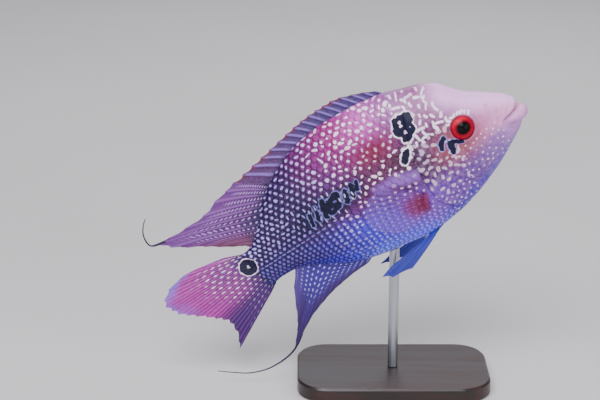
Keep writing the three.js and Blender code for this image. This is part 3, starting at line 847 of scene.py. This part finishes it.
def scale_points(roots, wrap, side, disc, border, rng):
    """The points of each scale: its domed top, the border under it and one in the middle."""
    (behind, length, size), (x, y) = roots.T[..., None], disc
    s = behind + SCALE_LONG * size * x
    angle = side * wrap.angle(np.minimum(s, BODY_END - 0.6), length + SCALE_WIDE * size * y)
    base, normal = body_points(s, angle), body_normals(s, angle)
    tilt = np.clip((x + 1) / 2, 0, 1)
    steep = lerp(0.42, 0.66, smoothstep(behind, 90, 125))
    lift = (-0.3 + steep * (tilt - 0.2) - 0.13 * y * y + 0.06 * (1 - x * x)) * np.minimum(size, 1)
    lift = (lift + rng.normal(0, 0.025, len(roots))[:, None] * tilt)[..., None]
    top = base + normal * lift
    under = (base + normal * (lift - 0.3))[:, border]
    middle = top.mean(axis=1, keepdims=True) - 0.35 * normal[:, len(x) // 2][:, None]
    return np.concatenate([top, under, middle], axis=1)


def scale_faces(border, side):
    """Faces of one scale: its top, the skirt round it and the fan under it."""
    count = SCALE_GRID ** 2
    faces = grid_faces(SCALE_GRID, SCALE_GRID)
    for i in range(len(border)):
        j = (i + 1) % len(border)
        faces.append([border[i], count + i, count + j, border[j]])
        faces.append([count + i, count + len(border), count + j])
    return faces if side < 0 else [face[::-1] for face in faces]


def scale_pearls(roots, wrap, side, disc, rng):
    """Each point's place in its scale's pearl, where 1 from the middle is its edge, and the brightness."""
    behind, length, size = roots.T
    centre = body_points(behind, side * wrap.angle(behind, length))
    _, height, ink = place_on_body(centre).T
    dark, band, red = dusk(centre), band_share(centre), crimson(centre)
    pearls = []
    for k in range(len(roots)):
        long, wide, turn, bright, stray = pearl_kind(behind[k], height[k], rng)
        if abs(length[k] - LATERAL_LINE) < 0.5 * SCALE_ROW * size[k] and behind[k] > 112:
            long, wide, turn, bright = 1.3, 0.32, 0.1, 0.8
        elif dark[k] > 0.45:
            long, wide, turn, bright = 0.42, 1.2, rng.normal(0, 0.25), 0.7
        bright *= (1 - band[k]) * (1 - 0.3 * red[k]) * (ink[k] >= 0.3)
        shrink = 1 - 0.25 * red[k]
        dx = SCALE_LONG * size[k] * (disc[0] - 0.42) - stray * rng.normal()
        dy = SCALE_WIDE * size[k] * disc[1] - stray * rng.normal()
        c, s = math.cos(turn), math.sin(turn)
        pearls.append(np.stack([(c * dx + s * dy) / (long * shrink), (c * dy - s * dx) / (wide * shrink),
                                np.full_like(dx, bright)], axis=-1))
    return np.concatenate(pearls)


def add_scale_map(scales, roots, disc):
    """Each scale's patch on the map lies at its root's place on the unrolled flank."""
    u = (roots[:, :1] - 34) / 128 + 0.0118 * disc[0]
    v = 0.5 + roots[:, 1:2] / 110 + 0.0108 * disc[1]
    places = np.stack([u.ravel(), v.ravel()], axis=-1).astype(np.float32)
    index = np.empty(len(scales.data.loops), np.int32)
    scales.data.loops.foreach_get("vertex_index", index)
    layer = scales.data.uv_layers.new(name="OFBake")
    layer.data.foreach_set("uv", places[index].ravel())


def add_scales(wrap, side, name):
    rng = np.random.default_rng(7 if side < 0 else 8)
    roots = scale_roots(wrap)
    disc, border = disc_grid(SCALE_GRID), grid_border(SCALE_GRID, SCALE_GRID)
    points = scale_points(roots, wrap, side, disc, border, rng)
    per = points.shape[1]
    points = points.reshape(-1, 3)
    one = scale_faces(border, side)
    faces = [[per * k + i for i in face] for k in range(len(roots)) for face in one]
    scales = make_object(name, to_world(points), faces)
    disc = np.concatenate([disc, disc[:, border], [[0], [0]]], axis=1)
    rims = np.tile(np.vstack([disc, np.zeros(per)]).T, (len(roots), 1))
    redness = np.maximum(blush(points), 0.5 * crimson(points))
    set_vector(scales, "fish", points)
    set_vector(scales, "place", place_on_body(points))
    set_vector(scales, "smudge", np.stack([dusk(points), band_share(points), redness], axis=-1))
    set_vector(scales, "pearl", scale_pearls(roots, wrap, side, disc, rng))
    set_vector(scales, "rim", rims)
    add_scale_map(scales, roots, disc)
    scales.data.materials.append(scale_material())
    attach(scales, "root")


def scale_material():
    paint = Paint("fish_scales")
    fish, place = paint.attribute("fish"), paint.attribute("place")
    along, height, ink = place.parts()
    pearl_x, pearl_y, bright = paint.attribute("pearl").parts()
    dark, band, red = paint.attribute("smudge").parts()
    fine = fish.noise(1.1, 3)
    ground = fine.step(0.3, 0.8, 0, 0.2).mix(body_colour(fish, place), (214, 170, 222))
    # The pocket behind each scale is darker towards the tail
    net = paint.attribute("rim").length().step(0.62, 0.95) * along.step(0.42, 0.85, 0.06, 0.9)
    ground = net.mix(ground, (18, 22, 84))
    ground = (dark.step(0.15, 0.8) * 0.85).mix(ground, (22, 24, 70))
    ground = red.step(0.05, 0.8).mix(ground, (146, 18, 72))
    ground = (band * 0.7).mix(ground, (176, 142, 208))
    ground = inked(ground, fish, ink, along)
    reach = pearl_x.joined(pearl_y).length() + fish.waver(0.7, 1, 0.8)
    pearl = reach.step(0.8, 1.12, 1, 0) * bright * red.step(0.2, 0.7, 1, 0.35)
    tail_tint = height.step(-0.2, 0.5).mix((150, 148, 222), (200, 196, 240))
    tint = along.step(0.5, 0.78).mix(PEARL, tail_tint)
    colour = ringed(pearl.mix(ground, tint), fish)
    paint.bump(fine + pearl, 0.00008)
    return paint.finish(colour, ink.step(0.2, 0.8, 0.6, 0.36), coat=0.1, coat_roughness=0.18, specular=0.28)


# Eyes
def add_eye(side, name, node):
    centre, normal = eye_place(side)
    rings, around = 38, 64
    polar = np.linspace(0, np.pi, rings + 2)[1:-1, None, None]
    turn = np.linspace(0, 2 * np.pi, around, endpoint=False)[:, None]
    axis_up = unit(np.array([0, 0, 1.0]) - normal[2] * normal)
    axis_side = np.cross(axis_up, normal)
    outward = EYE["depth"] * np.cos(polar) * (1 + 0.18 * bell(polar, 0.5))
    across = np.cos(turn) * axis_side + np.sin(turn) * axis_up
    points = centre + outward * normal + EYE["radius"] * np.sin(polar) * across
    poles = centre + EYE["depth"] * np.array([[1.18], [-1]]) * normal
    verts = np.concatenate([points.reshape(-1, 3), poles])
    eye = make_object(name, to_world(verts), [face[::-1] for face in capped_faces(rings, around)])
    set_vector(eye, "iris", (verts - centre) @ np.stack([axis_side, axis_up, normal], axis=-1))
    eye.data.materials.append(eye_material())
    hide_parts(node)
    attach(eye, "root")


def eye_material():
    """A red iris with fine streaks round a black pupil, brighter at the top."""
    paint = Paint("fish_eye")
    x, y, _ = paint.attribute("iris").parts()
    radius = (x * 0.88).joined(y).length()
    streaks = (y.math("ARCTAN2", x) * 2.2).joined(radius * 0.35).waver(3, 4, 0.5)
    red = ((radius + streaks) * (1 / 6.4)).ramp([
        (0.0, (20, 5, 20)), (0.4, (24, 4, 16)), (0.46, (92, 6, 44)), (0.56, (160, 12, 72)),
        (0.74, (176, 28, 88)), (0.86, (142, 12, 66)), (1.0, (40, 4, 36))])
    glow = y.step(1.5, 5.0) * radius.step(3.0, 4.6) * 0.35
    colour = radius.step(2.65, 2.85, 1, 0).mix(glow.mix(red, (240, 110, 130)), (4, 3, 10))
    return paint.finish(colour, 0.4, coat=0.1, coat_roughness=0.08, specular=0.08)


# Fins. A fin is a closed sheet of rays over (u, v), u from the first ray to the last and v from root to tip.
# How far each ray forks apart towards its tip and how wide its ridge is, as shares of the gap between rays
FORK = 0.16
RIDGE = 0.13
THREAD_RADII = (0.6, 0.22)


def fin_sheet(rays, root, bend, tip, rows=40, per_ray=6, notch=0.04, ray=0.55, membrane=0.16, base=0.7,
              branch_from=0.45, wave=0.0, ragged=0.0, seed=1):
    """Vertices, faces and marks: the ray's number, the share of the way out and the ridge's height."""
    rng = np.random.default_rng(seed)
    columns = (rays - 1) * per_ray + 1
    u, v = np.meshgrid(np.linspace(0, 1, columns), np.linspace(0, 1, rows), indexing="ij")
    place = u * (rays - 1)
    phase = np.abs(place - np.round(place))
    free = 1 + ragged * np.interp(np.round(place), np.arange(rays), rng.uniform(-1, 0.6, rays))
    reach = v * (1 - notch * np.clip(phase * 2.6, 0, 1) ** 0.7) * lerp(1, free, v)

    def at(u, v):
        out, rest = v[..., None], 1 - v[..., None]
        return root(u) * rest * rest + bend(u) * 2 * out * rest + tip(u) * out * out

    step = 0.004
    across = at(np.minimum(u + step, 1), reach) - at(np.maximum(u - step, 0), reach)
    along = at(u, np.minimum(reach + step, 1.2)) - at(u, np.maximum(reach - step, 0))
    normal = unit(np.cross(across, along))
    ridge = bell(phase - FORK * smoothstep(v, branch_from, 1.0), RIDGE)
    half = (membrane + (ray - membrane) * ridge) * lerp(1, 0.4, v) + base * np.exp(-v * 16)
    points = at(u, reach) + normal * (wave * np.sin(place * 2.1 + 3 * v) * v)[..., None]
    sheets = np.stack([points + normal * half[..., None], points - normal * half[..., None]])
    size = columns * rows
    first = grid_faces(columns, rows)
    faces = [face[::-1] for face in first] + [[i + size for i in face] for face in first]
    border = grid_border(columns, rows)
    for a, b in zip(border, border[1:] + border[:1]):
        faces.append([a + size, b + size, b, a])
    marks = np.stack([place, v, ridge], axis=-1).reshape(-1, 3)
    return sheets.reshape(-1, 3), faces, np.concatenate([marks, marks])


def track(points):
    """A path through (u, x, y, z) points, as a function of u."""
    table = np.array(points, float)
    curves = [profile(list(zip(table[:, 0], table[:, k]))) for k in (1, 2, 3)]
    return lambda u: np.stack([curve(u) for curve in curves], axis=-1)


def midway(root, tip, lift):
    return lambda u: (root(u) + tip(u)) / 2 + np.array(lift, float)


def add_fin(name, slot, sheet, material, *nodes, thread=None):
    verts, faces, marks = sheet
    if thread:
        curve = smooth_curve(thread, 60)
        shape = tube(curve, np.linspace(*THREAD_RADII, len(curve)), 10, flat=0.8)
        verts, faces = join_shapes([(verts, faces), shape])
        marks = np.concatenate([marks, np.tile([0.0, 1.5, 1.0], (len(shape[0]), 1))])
    fin = make_object(name, to_world(verts), faces)
    set_vector(fin, "fish", verts)
    set_vector(fin, "marks", marks)
    fin.data.materials.append(material)
    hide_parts(*nodes)
    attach(fin, "root")


def fin_dots(fish, place, out, fine, rows):
    """Pale dots in rows across a fin, between its rays."""
    number = place.math("FLOOR") * 2.4
    beat = (out * (2 * math.pi * rows) + number + fish.noise(0.5, 1) * 2.5).math("SINE")
    beside = (place * (2 * math.pi)).math("COSINE")
    return (beat - (beside + 1) * 1.5 + fine * 0.5).step(0.05, 0.55)


def fin_material(name, root, outer, ray, rear=None, low=None, rim=None, rim_rays=None, dots=0.0,
                 dot_colour=PEARL, dot_rows=14, dot_end=0.7, ray_share=0.6, ray_width=0.35, alpha=None,
                 root_dark=None, spot=False, last_ray=None, forked=False):
    """Paint for a fin. rear and low are (ray, ray, colour): the colour comes in from the one to the other."""
    paint = Paint(name)
    fish = paint.attribute("fish")
    place, out, ridge = paint.attribute("marks").parts()
    outward = out + fish.waver(0.12, 3, 0.4)
    fine = fish.noise(0.9, 3)
    lines_per_ray = 2 if forked else 1
    lines = (place * (2 * math.pi * lines_per_ray)).math("COSINE").step(1 - 2 * ray_width, 1.0) * ray_share
    colour = outward.step(0.1, 0.9).mix(root, outer)
    if rear:
        colour = place.step(*rear[:2]).mix(colour, rear[2])
    colour = fine.step(0.35, 0.75, 0, 0.2).mix(colour, ray)
    if low:
        colour = place.step(*low[:2]).mix(colour, low[2])
        lines = lines * place.step(*low[:2], 1, 0.35)
    if last_ray:
        lines = lines * place.step(last_ray - 0.6, last_ray - 0.4, 1, 0)
    colour = lines.mix(colour, ray)
    if root_dark:
        colour = outward.step(0.0, 0.3, 0.85, 0).mix(colour, root_dark)
    if dots:
        dot = fin_dots(fish, place, out, fine, dot_rows)
        dot = dot * outward.step(dot_end - 0.15, dot_end + 0.15, dots, 0)
        if low:
            dot = dot * place.step(*low[:2], 1, 0.25)
        colour = dot.mix(colour, dot_colour)
    if rim:
        edge = outward.step(0.8, 1.0) * (place.step(*rim_rays, 0.85, 0) if rim_rays else 0.85)
        colour = edge.mix(colour, rim)
    if spot:
        colour = ringed(colour, fish)
    colour = out.step(1.05, 1.2).mix(colour, (58, 44, 84))
    if alpha:
        clear = ridge.step(0.2, 0.8, alpha, alpha + 0.3).math("MAXIMUM", out.step(0.12, 0.0))
        paint.feed(paint.surface.inputs["Alpha"], clear)
    paint.bump(fine + ridge, 0.0001)
    return paint.finish(colour, fine.step(0.2, 0.8, 0.38, 0.5), coat=0.12, coat_roughness=0.2, specular=0.4)


SPINY = {"start": 53, "end": 126.2, "spines": 17}
SPINY_TIPS = [(0, -57.2, 0, 45.8), (0.1, -66.1, 0, 49.8), (0.25, -79.1, 0, 53.3), (0.42, -91, 0, 53),
              (0.6, -104.9, 0, 50.8), (0.78, -121, 0.4, 47.2), (1, -143.2, 1, 42.5)]
SOFT = {"start": 126.0, "end": 151.4, "rays": 13}
SOFT_TIPS = [(0, -142.8, 1.1, 42.6), (0.14, -153.7, 1.6, 39.6), (0.27, -169.2, 2.6, 35.3),
             (0.39, -184.9, 3.6, 34.3), (0.5, -197.5, 4.6, 35.2), (0.59, -190.2, 4, 29),
             (0.69, -179.8, 3.2, 23.4), (0.8, -170.5, 2.3, 18.4), (0.92, -161.7, 1.2, 13.3),
             (1, -156.5, 0.8, 11)]
DORSAL_THREAD = [(-190.5, 4, 33.6), (-195.8, 4.4, 34.2), (-198.7, 4.7, 35.8), (-199.3, 5.2, 38.4),
                 (-198.9, 5.7, 41.4), (-197.4, 6.1, 44.4), (-195.7, 6.4, 46.5), (-193.2, 6.7, 48.6)]
ANAL = {"start": 102.8, "end": 142.1, "rays": 15}
ANAL_TIPS = [(0, -109.2, 0, -30.6), (0.13, -119, 0, -31.6), (0.28, -131.4, -0.4, -34.4),
             (0.43, -144, -0.9, -38.7), (0.55, -156.6, -1.6, -45.8), (9 / 14, -164.5, -2.2, -50.6),
             (0.74, -160.1, -1.8, -45.2), (0.85, -155.4, -1.4, -38.8), (0.93, -150.8, -0.8, -29.9),
             (1, -146.3, -0.4, -20.9)]
ANAL_THREAD = [(-156.5, -1.6, -45.4), (-161.2, -2, -48.8), (-165.7, -2.4, -51), (-169.6, -2.9, -51.9),
               (-174.5, -3.5, -52.3), (-179.8, -4.1, -52), (-185.7, -4.8, -50.5), (-191.5, -5.4, -47.8),
               (-197, -6, -43.7), (-204, -6.5, -38)]
CAUDAL_TIPS = [(0, -169.5, 0, 11.4), (0.05, -189.2, -0.6, 14.3), (0.12, -201.7, -1.4, 12.2),
               (0.22, -208.6, -2, 6.4), (0.35, -206.4, -1.6, -0.8), (0.48, -199.4, -0.6, -7.8),
               (0.6, -192.4, 0.6, -14.2), (0.72, -186.9, 1.8, -20), (0.82, -185.8, 2.8, -26.8),
               (15 / 16, -190.5, 3.6, -37.4), (0.975, -178.7, 2.2, -30.5), (1, -166.4, 1, -22.8)]
PECTORAL = {"top_back": 61, "top_height": -8.6, "low_back": 64.4, "low_height": -17.2}
PECTORAL_LENGTH = [(0, 25), (0.25, 33), (0.45, 35), (0.7, 29), (1, 17)]
PECTORAL_RISE = [(0, 44), (1, -6)]
PECTORAL_SPLAY = [(0, 17), (1, 26)]
PELVIC = {"front_back": 63.5, "rear_back": 69.5, "front_out": 5.2, "rear_out": 3.6}
PELVIC_TIPS = [(0, -88, 10.5, -41.4), (0.2, -99, 10.8, -40.2), (0.4, -103.5, 10, -37.6),
               (0.65, -95, 8, -35.2), (1, -84, 5.4, -34)]
# The midline fins are rooted this deep in the body
ROOT_SUNK = 1.2


def on_midline(start, end, angle):
    def root(u):
        behind = lerp(start, end, np.asarray(u, float))
        turn = np.full_like(behind, angle)
        return body_points(behind, turn) - ROOT_SUNK * body_normals(behind, turn)
    return root


def add_dorsal_fin():
    root, tip = on_midline(SPINY["start"], SPINY["end"], 0.0), track(SPINY_TIPS)
    spiny = fin_sheet(SPINY["spines"], root, midway(root, tip, (0, 0, 0.8)), tip, rows=24, per_ray=8,
                      notch=0.1, ray=0.6, branch_from=2.0, seed=3)
    paint = fin_material("fin_dorsal_spiny", (82, 68, 118), (84, 68, 114), (168, 148, 204),
                         rear=(6, 16, (104, 64, 110)), rim=(140, 66, 92), ray_share=0.75, ray_width=0.42,
                         root_dark=(70, 50, 100), last_ray=16)
    add_fin("dorsal_fin_spines", "fin_violet", spiny, paint, "dorsal_fin_spiny")
    root, tip = on_midline(SOFT["start"], SOFT["end"], 0.0), track(SOFT_TIPS)
    soft = fin_sheet(SOFT["rays"], root, midway(root, tip, (0, 0, 1.4)), tip, rows=48, notch=0.05,
                     wave=0.25, ragged=0.03, seed=4)
    paint = fin_material("fin_dorsal_soft", (92, 50, 112), (128, 84, 144), (178, 142, 192),
                         low=(7, 10, (124, 76, 104)), dots=0.65, dot_rows=17, dot_end=0.75,
                         dot_colour=(218, 192, 234), ray_share=0.5, root_dark=(44, 38, 90))
    add_fin("dorsal_fin_rays", "fin_violet", soft, paint, "dorsal_fin_soft", "dorsal_fin_thread",
            thread=DORSAL_THREAD)


def add_anal_fin():
    root, tip = on_midline(ANAL["start"], ANAL["end"], math.pi), track(ANAL_TIPS)
    sheet = fin_sheet(ANAL["rays"], root, midway(root, tip, (0, 0, -1.2)), tip, rows=44, wave=0.25,
                      ragged=0.03, seed=5)
    paint = fin_material("fin_anal", (86, 68, 150), (76, 46, 98), (106, 84, 150),
                         low=(11, 14, (112, 92, 152)), dots=0.85, dot_end=0.44, dot_colour=(192, 194, 240),
                         ray_share=0.4)
    add_fin("anal_fin_rays", "fin_blue", sheet, paint, "anal_fin", "anal_fin_thread", thread=ANAL_THREAD)


def add_caudal_fin():
    def root(u):
        angle = np.pi * (0.06 + 0.88 * np.asarray(u, float))
        points = body_points(np.full_like(angle, BODY_END), angle) * np.array([1, 0, 1])
        return points + np.array([2.6, 0, 0])

    tip = track(CAUDAL_TIPS)
    sheet = fin_sheet(17, root, midway(root, tip, (0, 0, 0)), tip, rows=48, notch=0.03, ray=0.5, wave=0.3,
                      base=0.9, ragged=0.012, seed=6)
    paint = fin_material("fin_caudal", (104, 36, 118), (164, 58, 150), (216, 156, 214),
                         low=(8.5, 12.5, (82, 38, 116)), rim=(158, 136, 208), rim_rays=(5, 9), dots=0.7,
                         dot_rows=10, dot_end=0.6, ray_share=0.5, ray_width=0.3, root_dark=(54, 44, 112),
                         forked=True, spot=True)
    add_fin("caudal_fin_rays", "fin_magenta", sheet, paint, "caudal_fin")


def add_pectoral_fin(side, hand):
    length, rise, splay = profile(PECTORAL_LENGTH), profile(PECTORAL_RISE), profile(PECTORAL_SPLAY)

    def root(u):
        behind = lerp(PECTORAL["top_back"], PECTORAL["low_back"], np.asarray(u, float))
        angle = angle_at(behind, lerp(PECTORAL["top_height"], PECTORAL["low_height"], u), side)
        return body_points(behind, angle) + 0.2 * body_normals(behind, angle)

    def reach(u, share):
        up, out = np.radians(rise(u)), np.radians(splay(u))
        run = length(u) * share
        return root(u) + np.stack([-run * np.cos(out) * np.cos(up), side * run * np.sin(out),
                                   run * np.cos(out) * np.sin(up)], axis=-1)

    def middle(u):
        return reach(u, 0.5) + np.array([0, side * 1.5, 0])

    sheet = fin_sheet(13, root, middle, lambda u: reach(u, 1.0), rows=34, notch=0.03, ray=0.34,
                      membrane=0.1, base=0.9, branch_from=0.5, seed=9)
    paint = fin_material(f"fin_pectoral_{hand}", (168, 116, 180), (146, 120, 190), (164, 136, 206),
                         alpha=0.14, ray_share=0.4, ray_width=0.2, root_dark=(146, 40, 84))
    add_fin(f"pectoral_rays_{hand}", "fin_lilac", sheet, paint, f"pectoral_fin_{hand}")


def add_pelvic_fin(side, hand):
    tips = track(PELVIC_TIPS)

    def root(u):
        behind = lerp(PELVIC["front_back"], PELVIC["rear_back"], np.asarray(u, float))
        out = lerp(PELVIC["front_out"], PELVIC["rear_out"], u)
        turn = np.arcsin((out / half_width(behind)) ** (1 / keel_power(behind)))
        angle = side * (np.pi - turn)
        return body_points(behind, angle) - 0.4 * body_normals(behind, angle)

    def tip(u):
        return tips(u) * np.array([1, side, 1])

    sheet = fin_sheet(6, root, midway(root, tip, (0, side, -1)), tip, per_ray=10, notch=0.05, ray=0.45,
                      wave=0.2, seed=10)
    paint = fin_material(f"fin_pelvic_{hand}", (66, 78, 172), (56, 64, 152), (88, 100, 186), alpha=0.85,
                         ray_share=0.4, ray_width=0.2)
    add_fin(f"pelvic_rays_{hand}", "fin_blue", sheet, paint, f"pelvic_fin_{hand}")


# Stand
def wood_material():
    paint = Paint("stand_wood")
    x, y, z = paint.object_place().parts()
    stretched = (x * 12).joined(y * 140, z * 140)
    grain, pores = stretched.noise(1.0, 6, 0.6), stretched.noise(5.0, 3)
    colour = grain.ramp([(0.3, (38, 24, 18)), (0.5, (62, 40, 28)), (0.7, (84, 56, 38))])
    colour = pores.step(0.55, 0.7, 0, 0.5).mix(colour, (24, 15, 12))
    paint.bump(grain, 0.0002, 0.4)
    return paint.finish(colour, grain.step(0.3, 0.7, 0.32, 0.5), coat=0.2, coat_roughness=0.2)


def steel_material():
    paint = Paint("stand_steel")
    x, y, z = paint.object_place().parts()
    fine = (x * 900).joined(y * 900, z * 40).noise(1.0)
    colour = fine.mix((190, 192, 196), (212, 214, 218))
    return paint.finish(colour, fine.step(0.2, 0.8, 0.3, 0.38), metallic=1.0)


def dress_stand():
    for node, material in (("stand_base", wood_material()), ("stand_rod", steel_material())):
        obj = bpy.data.objects[node]
        obj.data.materials.clear()
        obj.data.materials.append(material)


# Floor and light
def add_floor():
    size = 3.0
    floor = make_object("floor", [(-size, -size, 0), (size, -size, 0), (size, size, 0), (-size, size, 0)],
                        [[0, 1, 2, 3]], smooth=False)
    paint = Paint("floor_paper")
    tone = paint.object_place().noise(6)
    floor.data.materials.append(paint.finish(tone.mix((226, 225, 222), (232, 231, 229)), 0.8))


COOL_WHITE = (0.93, 0.91, 1.0)
LIGHTS_AIM_AT = (0, 0, 0.1)
# Each light's place, its width and height, and its power
LIGHTS = {
    "key": ((-0.25, -0.7, 1.0), (0.8, 0.6), 15.5),
    "fill": ((0.9, -0.8, 0.5), (0.8, 0.8), 6.2),
    "low": ((-0.2, -1.0, 0.1), (0.9, 0.15), 1.9),
    "rim": ((0.1, 0.9, 0.8), (0.8, 0.5), 4),
}


def add_lights():
    for name, (place, size, power) in LIGHTS.items():
        data = bpy.data.lights.new(name, "AREA")
        data.shape = "RECTANGLE"
        data.size, data.size_y = size
        data.energy = power
        data.color = COOL_WHITE
        light = bpy.data.objects.new(name, data)
        bpy.context.scene.collection.objects.link(light)
        light.location = place
        light.rotation_euler = (Vector(LIGHTS_AIM_AT) - Vector(place)).to_track_quat("-Z", "Y").to_euler()
    world = bpy.data.worlds.new("studio")
    world.use_nodes = True
    sky = world.node_tree.nodes["Background"].inputs
    sky["Color"].default_value = (0.88, 0.88, 0.97, 1)
    sky["Strength"].default_value = 0.5
    bpy.context.scene.world = world


def main():
    add_camera()
    add_floor()
    add_lights()
    add_skin()
    wrap = Wrap()
    add_scales(wrap, -1, "scales_right")
    add_scales(wrap, 1, "scales_left")
    for side, hand in ((-1, "right"), (1, "left")):
        add_eye(side, f"eyeball_{hand}", f"eye_{hand}")
        add_pectoral_fin(side, hand)
        add_pelvic_fin(side, hand)
    add_dorsal_fin()
    add_anal_fin()
    add_caudal_fin()
    dress_stand()


main()
